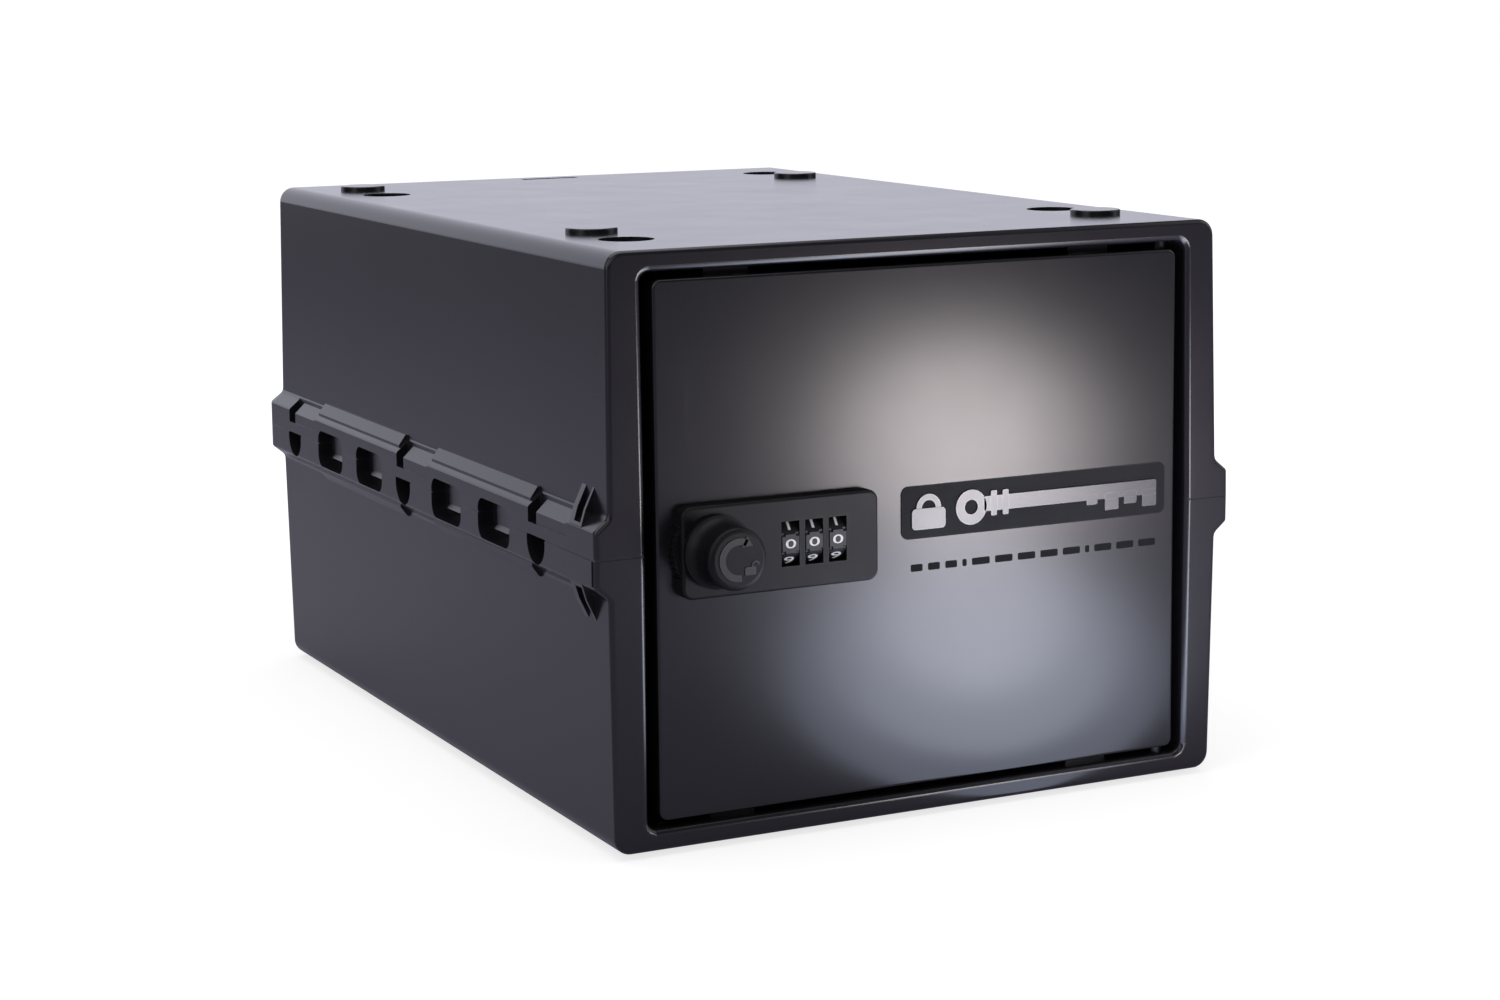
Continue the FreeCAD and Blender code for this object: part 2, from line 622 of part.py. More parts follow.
def lock_faceplate():
    """Faceplate with three digit windows, the spindle bore and two screw bosses."""
    z0, z1 = SEAM_Z - PLATE_H / 2, SEAM_Z + PLATE_H / 2
    plate = rounded_plate(PLATE_X0, PLATE_X1, PLATE_Y, DOOR_Y, z0, z1, PLATE_R)
    rim = edges_where(plate, lambda b: b.YMax < PLATE_Y + 1e-3)
    plate = plate.makeFillet(PLATE_EDGE_R, rim)
    r = PLATE_RIM
    inside = rounded_plate(PLATE_X0 + r, PLATE_X1 - r, PLATE_BACK_Y, DOOR_Y + 1, z0 + r, z1 - r,
                           PLATE_R - r)
    plate = plate.cut(inside)
    bosses = [cyl_y(SCREW_X, SEAM_Z + s * SCREW_OFF_CENTRE, BOSS_R, PLATE_BACK_Y - 0.5, FLANGE_Y0)
              for s in (-1, 1)]
    plate = plate.fuse(bosses)
    cuts = [cyl_y(KNOB_X, SEAM_Z, SPINDLE_R + 2 * RUNNING, PLATE_Y - 1, DOOR_Y),
            cyl_y(KNOB_X, SEAM_Z, THUMB_R + 0.25, PLATE_BACK_Y, DOOR_Y + 1)]
    for s in (-1, 1):
        cuts.append(cyl_y(SCREW_X, SEAM_Z + s * SCREW_OFF_CENTRE, SCREW_R, PLATE_BACK_Y, FLANGE_Y0 + 1))
    for x in WHEEL_XS:
        cuts.append(box(x - WINDOW_SLOT_W / 2, x + WINDOW_SLOT_W / 2, PLATE_Y - 1, DOOR_Y,
                        SEAM_Z - WINDOW_SLOT_H / 2, SEAM_Z + WINDOW_SLOT_H / 2))
    return plate.cut(cuts).removeSplitter()


def lock_housing():
    """Housing behind the door with chambers for the wheels, the slider and the spindle collar."""
    half = HOUSING_H / 2
    body = box(HOUSING_X0, HOUSING_X1, HOUSING_Y0, HOUSING_Y1, SEAM_Z - half, SEAM_Z + half)
    flange = rounded_plate(PLATE_X0 - FLANGE_LIP, PLATE_X1 + FLANGE_LIP, FLANGE_Y0,
                           FLANGE_Y0 + FLANGE_T, SEAM_Z - FLANGE_H / 2, SEAM_Z + FLANGE_H / 2, 3.0)
    housing = body.fuse([flange]).removeSplitter()
    h = CHAMBER_H / 2
    rear = HOUSING_Y1 - HOUSING_WALL
    slot = SLIDER_H / 2 + SLIDER_GAP
    cuts = [box(CHAMBER_X0, CHAMBER_X1, HOUSING_Y0 - 1, HOUSING_Y1 + 1, SEAM_Z - h, SEAM_Z + h),
            cyl_y(KNOB_X, SEAM_Z, SPINDLE_R + RUNNING, HOUSING_Y0 - 1, HOUSING_Y1 + 1),
            cyl_y(KNOB_X, SEAM_Z, COLLAR_R + LIFT + 0.5, COLLAR_Y0 - 2 * SLIP, HOUSING_Y1 + 1),
            box(KNOB_X, CHAMBER_X0 + 1, SLIDER_Y0 - SLIP, HOUSING_Y1 + 1, SEAM_Z - slot, SEAM_Z + slot),
            box(spring_x() - 2.2, CHAMBER_X0 + 1, SLIDER_Y1, HOUSING_Y1 + 1, SEAM_Z - h, SEAM_Z + h),
            cyl_x(AXLE_Y, SEAM_Z, AXLE_R, CHAMBER_X0 - HOUSING_WALL, HOUSING_X1 + 1)]
    for s in (-1, 1):
        cuts.append(cyl_y(SCREW_X, SEAM_Z + s * SCREW_OFF_CENTRE, SCREW_R, FLANGE_Y0 - 1, rear))
    for x, z in cover_screw_places():
        cuts.append(cyl_y(x, z, COVER_SCREW_R, COVER_SEAT_Y - COVER_SCREW_L, HOUSING_Y1 + 1))
    return housing.cut(cuts).removeSplitter()


def cover_screw_places():
    """Cover screws: one each side of the spindle."""
    off = HOUSING_H / 2 - 2.7
    return [(HOUSING_X0 + 2.6, SEAM_Z + off), (spring_x() - 6.2, SEAM_Z - off)]


def lock_back_cover():
    """Cover over the rear of the housing, with bores for the spindle and the reset pin."""
    half = HOUSING_H / 2
    cover = rounded_plate(HOUSING_X0, HOUSING_X1, COVER_Y0, COVER_Y1, SEAM_Z - half, SEAM_Z + half, 1.0)
    cuts = [cyl_y(KNOB_X, SEAM_Z, JOURNAL_R + RUNNING, COVER_Y0 - 1, COVER_Y1 + 1),
            cyl_y(MIDDLE_WHEEL_X, SEAM_Z, RESET_PIN_R + RUNNING, COVER_Y0 - 1, COVER_Y1 + 1)]
    for x, z in cover_screw_places():
        cuts.append(cyl_y(x, z, COVER_SCREW_R, COVER_Y0 - 1, COVER_Y1 + 1))
        cuts.append(cyl_y(x, z, COVER_SCREW_HEAD_R + SINK_GAP, COVER_SEAT_Y, COVER_Y1 + 1))
    return cover.cut(cuts)


def pan_screw(x, z, r, head_r, head_t, seat_y, length):
    """Pan-head screw with a cross recess; its head seats at seat_y and faces +Y."""
    shank = cyl_y(x, z, r, seat_y - length, seat_y)
    head = cyl_y(x, z, head_r, seat_y, seat_y + head_t)
    head = head.makeFillet(0.35 * head_t, edges_where(head, lambda b: b.YMin > seat_y + head_t - 1e-3))
    arm, wide, deep = 0.6 * head_r, 0.16 * head_r, 0.55 * head_t
    top = seat_y + head_t
    cross = [box(x - arm, x + arm, top - deep, top + 1, z - wide, z + wide),
             box(x - wide, x + wide, top - deep, top + 1, z - arm, z + arm)]
    return shank.fuse([head]).cut(cross).removeSplitter()


def lock_fixing_screws():
    """Two screws that pull the faceplate and the housing together on the door."""
    seat = FLANGE_Y0 + FLANGE_T
    return Part.makeCompound([pan_screw(SCREW_X, SEAM_Z + s * SCREW_OFF_CENTRE, SCREW_R, SCREW_HEAD_R,
                                        SCREW_HEAD, seat, seat - PLATE_BACK_Y) for s in (-1, 1)])


def cover_screws():
    """Two small screws that hold the cover, their heads sunk below its face."""
    return Part.makeCompound([pan_screw(x, z, COVER_SCREW_R, COVER_SCREW_HEAD_R, COVER_SCREW_HEAD,
                                        COVER_SEAT_Y, COVER_SCREW_L) for x, z in cover_screw_places()])


def knob():
    """Turning knob: wide foot, narrower waist and a flared head."""
    base_y = PLATE_Y - SLIP
    front_y = base_y - KNOB_L
    axis = V(KNOB_X, base_y, SEAM_Z)
    foot_y = base_y - KNOB_BASE_T
    waist_y = base_y - 0.52 * KNOB_L
    head_y = front_y + 1.6
    at = lambda r, y: V(KNOB_X + r, y, SEAM_Z)
    flank = Part.BSplineCurve()
    flank.interpolate([at(KNOB_BASE_R - 0.6, foot_y - 0.5), at(KNOB_WAIST_R + 0.5, foot_y - 2.6),
                       at(KNOB_WAIST_R, waist_y), at(KNOB_HEAD_R, head_y)])
    edges = [Part.makeLine(at(0, base_y), at(KNOB_BASE_R, base_y)),
             Part.makeLine(at(KNOB_BASE_R, base_y), at(KNOB_BASE_R, foot_y)),
             Part.makeLine(at(KNOB_BASE_R, foot_y), at(KNOB_BASE_R - 0.6, foot_y - 0.5)),
             flank.toShape(),
             Part.Arc(at(KNOB_HEAD_R, head_y), at(KNOB_HEAD_R - 0.35, front_y + 0.45),
                      at(KNOB_HEAD_R - 1.1, front_y)).toShape(),
             Part.makeLine(at(KNOB_HEAD_R - 1.1, front_y), at(0, front_y)),
             Part.makeLine(at(0, front_y), at(0, base_y))]
    solid = Part.Face(Part.Wire(edges)).revolve(axis, Y_AXIS, 360)
    cap_seat = cyl_y(KNOB_X, SEAM_Z, CAP_R, front_y - 1, front_y + CAP_T - CAP_PROUD)
    bore = cyl_y(KNOB_X, SEAM_Z, SPINDLE_R, spindle_front_y(), base_y + 1)
    return solid.cut([cap_seat, bore]).removeSplitter()


def spindle_front_y():
    """Front end of the spindle inside the knob."""
    return PLATE_Y - SLIP - KNOB_L + CAP_T + 2.0


def knob_cap():
    """Round cap in the front of the knob."""
    y1 = PLATE_Y - SLIP - KNOB_L + CAP_T - CAP_PROUD
    cap = cyl_y(KNOB_X, SEAM_Z, CAP_R, y1 - CAP_T, y1)
    return cap.makeFillet(0.28, edges_where(cap, lambda b: b.YMax < y1 - CAP_T + 1e-3))


def thumb_wheel():
    """Wheel with a toothed rim, turned from the free side of the faceplate."""
    y1 = DOOR_Y - SLIP - 0.05
    y0 = y1 - THUMB_T
    points = []
    for i in range(2 * THUMB_TEETH):
        angle = math.pi * i / THUMB_TEETH
        r = THUMB_R - (THUMB_TOOTH if i % 2 else 0.0)
        points.append(V(KNOB_X + r * math.cos(angle), y0, SEAM_Z + r * math.sin(angle)))
    wheel = prism(points, V(0, THUMB_T, 0))
    return wheel.cut(cyl_y(KNOB_X, SEAM_Z, SPINDLE_R, y0 - 1, y1 + 1))


def collar_radius(angle):
    """Radius of the spindle's lifting collar; angle in degrees from +X towards -Z."""
    if 0 <= angle <= 90:
        return COLLAR_R + LIFT * (1 - angle / 90)
    if angle > 330:
        return COLLAR_R + LIFT
    if angle < 115:
        return COLLAR_R
    return COLLAR_R - 0.4


def lock_spindle():
    """Spindle: shaft, lifting collar, rear journal and square tail, tapped for the latch screw."""
    steps = 72
    points = []
    for i in range(steps):
        degrees = 360 * i / steps
        angle = math.radians(degrees)
        r = collar_radius(degrees)
        points.append(V(KNOB_X + r * math.cos(angle), COLLAR_Y0, SEAM_Z - r * math.sin(angle)))
    collar = prism(points, V(0, COLLAR_T, 0))
    s = TAIL_SQUARE / 2
    pieces = [cyl_y(KNOB_X, SEAM_Z, SPINDLE_R, spindle_front_y(), COLLAR_Y0 + 0.5), collar,
              cyl_y(KNOB_X, SEAM_Z, JOURNAL_R, COLLAR_Y1 - 0.5, LATCH_Y0),
              box(KNOB_X - s, KNOB_X + s, LATCH_Y0 - 0.5, LATCH_Y1, SEAM_Z - s, SEAM_Z + s)]
    tap = cyl_y(KNOB_X, SEAM_Z, LATCH_SCREW_R, LATCH_Y1 + WASHER_T - LATCH_SCREW_L, LATCH_Y1 + 1)
    return fused(pieces).cut(tap)


def latch_cam():
    """Latch arm on the square of the spindle; it points up when the lock is open."""
    w = LATCH_W / 2
    arm = box(KNOB_X - w, KNOB_X + w, LATCH_Y0, LATCH_Y1, SEAM_Z, SEAM_Z + LATCH_L)
    arm = arm.makeFillet(2.5, edges_where(arm, lambda b: b.YLength > 1 and b.ZMin > SEAM_Z + 1))
    arm = arm.fuse([cyl_y(KNOB_X, SEAM_Z, w, LATCH_Y0, LATCH_Y1)]).removeSplitter()
    s = TAIL_SQUARE / 2
    return arm.cut(box(KNOB_X - s, KNOB_X + s, LATCH_Y0 - 1, LATCH_Y1 + 1, SEAM_Z - s, SEAM_Z + s))


def cam_washer():
    """Washer between the latch arm and its screw."""
    ring = cyl_y(KNOB_X, SEAM_Z, WASHER_R, LATCH_Y1, LATCH_Y1 + WASHER_T)
    return ring.cut(cyl_y(KNOB_X, SEAM_Z, LATCH_SCREW_R, LATCH_Y1 - 1, LATCH_Y1 + WASHER_T + 1))


def cam_screw():
    """Screw in the tail of the spindle."""
    return pan_screw(KNOB_X, SEAM_Z, LATCH_SCREW_R, LATCH_SCREW_HEAD_R, LATCH_SCREW_HEAD,
                     LATCH_Y1 + WASHER_T, LATCH_SCREW_L)


def digit_wheel(x):
    """Ten-sided ring with finger notches on its edges; one side faces the window at rest."""
    points = []
    for i in range(DIGITS):
        angle = 2 * math.pi * (i + 0.5) / DIGITS
        points.append(V(x - WHEEL_W / 2, AXLE_Y - WHEEL_R * math.cos(angle),
                        SEAM_Z + WHEEL_R * math.sin(angle)))
    wheel = prism(points, V(WHEEL_W, 0, 0))
    cuts = [cyl_x(AXLE_Y, SEAM_Z, SLEEVE_R, x - WHEEL_W, x + WHEEL_W)]
    for i in range(DIGITS):
        angle = 2 * math.pi * (i + 0.5) / DIGITS
        y = AXLE_Y - (WHEEL_R + 0.25) * math.cos(angle)
        z = SEAM_Z + (WHEEL_R + 0.25) * math.sin(angle)
        cuts.append(cyl_x(y, z, 0.75, x - WHEEL_W, x - WHEEL_W / 2 + 1.1))
        cuts.append(cyl_x(y, z, 0.75, x + WHEEL_W / 2 - 1.1, x + WHEEL_W))
    return wheel.cut(cuts)


def code_sleeve(x):
    """Sleeve inside a digit wheel, with a gated disc beside the wheel."""
    disc_x0 = x + WHEEL_W / 2 + SLEEVE_DISC_OFF
    disc_x1 = disc_x0 + SLEEVE_DISC_T
    sleeve = fused([cyl_x(AXLE_Y, SEAM_Z, SLEEVE_R, x - WHEEL_W / 2, x + WHEEL_W / 2),
                    cyl_x(AXLE_Y, SEAM_Z, GATE_R - 0.5, x + WHEEL_W / 2 - 0.5, disc_x1),
                    cyl_x(AXLE_Y, SEAM_Z, SLEEVE_DISC_R, disc_x0, disc_x1)])
    gate = box(disc_x0 - 0.1, disc_x1 + 0.1, AXLE_Y + GATE_R, AXLE_Y + SLEEVE_DISC_R + 1,
               SEAM_Z - GATE_W / 2, SEAM_Z + GATE_W / 2)
    bore = cyl_x(AXLE_Y, SEAM_Z, AXLE_R + RUNNING, x - WHEEL_W, x + 2 * WHEEL_W)
    return sleeve.cut([gate, bore])


def wheel_axle():
    """Fixed axle of the three wheels, held in the ends of the housing."""
    return cyl_x(AXLE_Y, SEAM_Z, AXLE_R, CHAMBER_X0 - HOUSING_WALL, HOUSING_X1)


def locking_slider():
    """Slider with one tooth for each disc, a foot on the spindle collar and a lug for its spring."""
    end = WHEEL_XS[-1] + WHEEL_W / 2 + TOOTH_OFF + TOOTH_T
    h = SLIDER_H / 2
    bar = box(FOOT_X, end, SLIDER_Y0, SLIDER_Y1, SEAM_Z - h, SEAM_Z + h)
    pieces = [bar]
    for x in WHEEL_XS:
        tooth_x = x + WHEEL_W / 2 + TOOTH_OFF
        pieces.append(box(tooth_x, tooth_x + TOOTH_T, AXLE_Y + TOOTH_TIP_R, SLIDER_Y0 + 0.5,
                          SEAM_Z - TOOTH_W / 2, SEAM_Z + TOOTH_W / 2))
    lug_x1 = spring_x() - SPRING_T - 0.25
    pieces.append(box(lug_x1 - 1.2, lug_x1, SLIDER_Y1 - 0.5, SLIDER_Y1 + 2.2, SEAM_Z - h, SEAM_Z + h))
    return fused(pieces)


def spring_x():
    """Place of the slider's leaf spring, between the spindle and the wheels."""
    return CHAMBER_X0 - 3.2


def slider_spring():
    """Bowed leaf that pushes the slider towards its locked place."""
    h = CHAMBER_H / 2
    bow = 1.6
    x = spring_x()
    y0, y1 = SLIDER_Y1 + 0.4, SLIDER_Y1 + 2.0
    outer = Part.Arc(V(x + bow, y0, SEAM_Z - h), V(x - SPRING_T, y0, SEAM_Z), V(x + bow, y0, SEAM_Z + h))
    inner = Part.Arc(V(x + bow + SPRING_T, y0, SEAM_Z - h), V(x, y0, SEAM_Z),
                     V(x + bow + SPRING_T, y0, SEAM_Z + h))
    ends = [Part.makeLine(outer.StartPoint, inner.StartPoint), Part.makeLine(outer.EndPoint, inner.EndPoint)]
    wire = Part.Wire(Part.__sortEdges__([outer.toShape(), inner.toShape()] + ends))
    return Part.Face(wire).extrude(V(0, y1 - y0, 0))


def wheel_detent_spring():
    """Comb of three leaf fingers whose tips sit close over the wheels and click in their notches."""
    roof = SEAM_Z + CHAMBER_H / 2
    t = SPRING_T
    y_back = HOUSING_Y1 - HOUSING_WALL
    y_bend = AXLE_Y + WHEEL_R + 1.2
    comb = [box(WHEEL_XS[0] - WHEEL_W / 2, WHEEL_XS[-1] + WHEEL_W / 2, y_bend, y_back, roof - t, roof)]
    reach = WHEEL_R + 0.35
    angle = math.radians(52)
    tip_y = AXLE_Y + reach * math.cos(angle)
    tip_z = SEAM_Z + reach * math.sin(angle)
    for x in WHEEL_XS:
        x0 = x - WHEEL_W / 2 + 0.7
        points = [V(x0, y_bend + 0.2, roof), V(x0, tip_y, tip_z + t), V(x0, tip_y, tip_z),
                  V(x0, y_bend + 0.2, roof - t)]
        comb.append(prism(points, V(WHEEL_W - 1.4, 0, 0)))
    return fused(comb)


def reset_lever():
    """Small lever behind the lock on a pin through the cover, turned to set a new code."""
    x, y0 = MIDDLE_WHEEL_X, COVER_Y1 + SLIP
    w = RESET_ARM_W / 2
    arm = box(x, x + RESET_ARM_L, y0, y0 + RESET_ARM_T, SEAM_Z - w, SEAM_Z + w)
    hub = cyl_y(x, SEAM_Z, w + 0.8, y0, y0 + RESET_ARM_T)
    pin = cyl_y(x, SEAM_Z, RESET_PIN_R, COVER_Y0 - 1.4, y0 + 0.5)
    head = cyl_y(x, SEAM_Z, RESET_PIN_R + 0.9, COVER_Y0 - 1.4, COVER_Y0 - SLIP)
    return fused([arm, hub, pin, head])


# ---------------------------------------------------------------- build

def main():
    """Build every node and write it."""
    os.makedirs("parts", exist_ok=True)
    upper = half_shell()
    save("upper_shell", upper)
    save("lower_shell", turned(upper))
    save("hinge_pin_upper", hinge_pin())
    save("hinge_pin_lower", mirrored_in_z(hinge_pin()))
    save("door_panel", door_panel())
    save("name_plate", name_plate())
    save("lock_faceplate", lock_faceplate())
    save("lock_housing", lock_housing())
    save("lock_back_cover", lock_back_cover())
    save("lock_fixing_screws", lock_fixing_screws())
    save("cover_screws", cover_screws())
    save("knob", knob())
    save("knob_cap", knob_cap())
    save("thumb_wheel", thumb_wheel())
    save("lock_spindle", lock_spindle())
    save("latch_cam", latch_cam())
    save("cam_washer", cam_washer())
    save("cam_screw", cam_screw())
    save("wheel_axle", wheel_axle())
    save("locking_slider", locking_slider())
    save("slider_spring", slider_spring())
    save("wheel_detent_spring", wheel_detent_spring())
    save("reset_lever", reset_lever())
    for name, x in zip(WHEEL_NAMES, WHEEL_XS):
        save("digit_wheel_" + name, digit_wheel(x))
        save("code_sleeve_" + name, code_sleeve(x))


main()
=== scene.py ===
"""Looks of a front-opening plastic lock-box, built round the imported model.

Two identical half shells meet at a moulded belt, a flat door hangs in the front frame, and a
combination lock with a knob and three digit wheels holds it shut.
"""

import logging
import math
from dataclasses import dataclass, field
from enum import Enum
from typing import Callable, Iterable

import bpy
from mathutils import Matrix, Vector


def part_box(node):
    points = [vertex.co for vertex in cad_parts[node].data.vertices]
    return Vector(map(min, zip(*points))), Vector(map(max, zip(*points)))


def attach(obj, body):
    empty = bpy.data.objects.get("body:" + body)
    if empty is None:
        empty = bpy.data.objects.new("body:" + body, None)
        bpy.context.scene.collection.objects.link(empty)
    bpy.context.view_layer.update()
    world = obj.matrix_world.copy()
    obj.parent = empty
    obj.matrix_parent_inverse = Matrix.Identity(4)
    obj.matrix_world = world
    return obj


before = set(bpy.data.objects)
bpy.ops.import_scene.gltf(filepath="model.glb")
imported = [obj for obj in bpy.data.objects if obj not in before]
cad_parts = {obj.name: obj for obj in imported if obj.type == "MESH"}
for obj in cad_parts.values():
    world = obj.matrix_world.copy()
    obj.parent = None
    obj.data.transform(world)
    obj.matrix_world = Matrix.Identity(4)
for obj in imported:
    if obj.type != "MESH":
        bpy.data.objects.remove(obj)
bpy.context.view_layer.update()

LOG = logging.getLogger("lock_box")
MM = 0.001
WHITE = (1.0, 1.0, 1.0)
MIX_COLOURS = (6, 7)     # colour inputs of a Mix node, and its colour output
MIX_RESULT = 2
SAME = 1e-6              # lengths and angles closer than this are equal
SHARP = 0.6              # edges that bend more, in radians, are rounded
BEVEL_STEPS = 2
CORNER_STEPS = 5
WEDGE_ROUND = 0.00004    # least rounding of an arrow head

Rgb = tuple[float, float, float]
Span = tuple[float, float, float]


# ---------------------------------------------------------------- node building


class NodeSheet:
    """One material's node tree, with short calls for the nodes that the finishes use."""

    def __init__(self, name: str) -> None:
        """Start a material with a Principled shader wired to its output.

        Args:
            name: Name of the material.
        """
        self.material = bpy.data.materials.new(name)
        self.material.use_nodes = True
        self.tree = self.material.node_tree
        self.tree.nodes.clear()
        self.output = self.tree.nodes.new("ShaderNodeOutputMaterial")
        self.shader = self.tree.nodes.new("ShaderNodeBsdfPrincipled")
        self.link(self.shader.outputs["BSDF"], self.output.inputs["Surface"])
        self.place = self.tree.nodes.new("ShaderNodeTexCoord").outputs["Object"]

    def link(self, source: bpy.types.NodeSocket, target: bpy.types.NodeSocket) -> None:
        """Wire one socket to another."""
        self.tree.links.new(source, target)

    def value(self, socket: str, amount: float) -> None:
        """Set a number on the shader's own socket."""
        self.shader.inputs[socket].default_value = amount

    def colour(self, socket: str, rgb: Rgb) -> None:
        """Set a colour on the shader's own socket."""
        self.shader.inputs[socket].default_value = (*rgb, 1.0)

    def stretched(self, scale: Span) -> bpy.types.NodeSocket:
        """Object coordinates scaled unevenly, for streaks and scratches.

        Args:
            scale: Scale along each axis.

        Returns:
            The scaled coordinates.
        """
        mapping = self.tree.nodes.new("ShaderNodeMapping")
        mapping.inputs["Scale"].default_value = scale
        self.link(self.place, mapping.inputs["Vector"])
        return mapping.outputs["Vector"]

    def noise(self, size: float, detail: float = 2.0, rough: float = 0.5,
              at: bpy.types.NodeSocket | None = None) -> bpy.types.NodeSocket:
        """Noise whose blotches are about one size across.

        Args:
            size: Size of a blotch in metres, or 1 for coordinates that are already scaled.
            detail: Octaves.
            rough: Strength of each finer octave.
            at: Coordinates, or None for plain object coordinates.

        Returns:
            The noise, about 0 to 1.
        """
        node = self.tree.nodes.new("ShaderNodeTexNoise")
        node.inputs["Scale"].default_value = 1.0 / size
        node.inputs["Detail"].default_value = detail
        node.inputs["Roughness"].default_value = rough
        self.link(at or self.place, node.inputs["Vector"])
        return node.outputs["Fac"]

    def span(self, source: bpy.types.NodeSocket, low: float, high: float, out_low: float,
             out_high: float) -> bpy.types.NodeSocket:
        """Stretch a number from one range to another, clamped.

        Args:
            source: Number to stretch.
            low: Start of its range.
            high: End of its range.
            out_low: What low becomes.
            out_high: What high becomes.

        Returns:
            The stretched number.
        """
        node = self.tree.nodes.new("ShaderNodeMapRange")
        for name, amount in (("From Min", low), ("From Max", high), ("To Min", out_low),
                             ("To Max", out_high)):
            node.inputs[name].default_value = amount
        self.link(source, node.inputs["Value"])
        return node.outputs["Result"]

    def sums(self, kind: str, a: bpy.types.NodeSocket,
             b: bpy.types.NodeSocket | float) -> bpy.types.NodeSocket:
        """Add, multiply or otherwise join two numbers.

        Args:
            kind: The Math node's operation.
            a: First number.
            b: Second number, a socket or a constant.

        Returns:
            The result.
        """
        node = self.tree.nodes.new("ShaderNodeMath")
        node.operation = kind
        self.link(a, node.inputs[0])
        if isinstance(b, (int, float)):
            node.inputs[1].default_value = b
        else:
            self.link(b, node.inputs[1])
        return node.outputs[0]

    def blend(self, share: bpy.types.NodeSocket, a: Rgb | bpy.types.NodeSocket,
              b: Rgb | bpy.types.NodeSocket) -> bpy.types.NodeSocket:
        """Blend two colours by a share.

        Args:
            share: 0 gives a, 1 gives b.
            a: First colour, written out or a socket.
            b: Second colour, written out or a socket.

        Returns:
            The blended colour.
        """
        node = self.tree.nodes.new("ShaderNodeMix")
        node.data_type = "RGBA"
        self.link(share, node.inputs[0])
        for slot, rgb in zip(MIX_COLOURS, (a, b)):
            if isinstance(rgb, tuple):
                node.inputs[slot].default_value = (*rgb, 1.0)
            else:
                self.link(rgb, node.inputs[slot])
        return node.outputs[MIX_RESULT]

    def edges(self, radius: float) -> bpy.types.NodeSocket:
        """Where the surface bends sharply, from the gap between true and rounded normals.

        Args:
            radius: Rounding radius in metres.

        Returns:
            0 on flats and up to 1 on edges.
        """
        bevel = self.tree.nodes.new("ShaderNodeBevel")
        bevel.samples = 4
        bevel.inputs["Radius"].default_value = radius
        true = self.tree.nodes.new("ShaderNodeNewGeometry")
        dot = self.tree.nodes.new("ShaderNodeVectorMath")
        dot.operation = "DOT_PRODUCT"
        self.link(bevel.outputs["Normal"], dot.inputs[0])
        self.link(true.outputs["Normal"], dot.inputs[1])
        return self.span(dot.outputs["Value"], 0.99, 0.86, 0.0, 1.0)

    def bumps(self, layers: Iterable[tuple[bpy.types.NodeSocket, float, float]]) -> None:
        """Wire a chain of bumps to the shader's normal.

        Args:
            layers: Height, depth in metres and strength of each layer.
        """
        last = None
        for height, depth, strength in layers:
            node = self.tree.nodes.new("ShaderNodeBump")
            node.inputs["Distance"].default_value = depth
            node.inputs["Strength"].default_value = strength
            self.link(height, node.inputs["Height"])
            if last is not None:
                self.link(last, node.inputs["Normal"])
            last = node.outputs["Normal"]
        if last is not None:
            self.link(last, self.shader.inputs["Normal"])


# ---------------------------------------------------------------- finishes


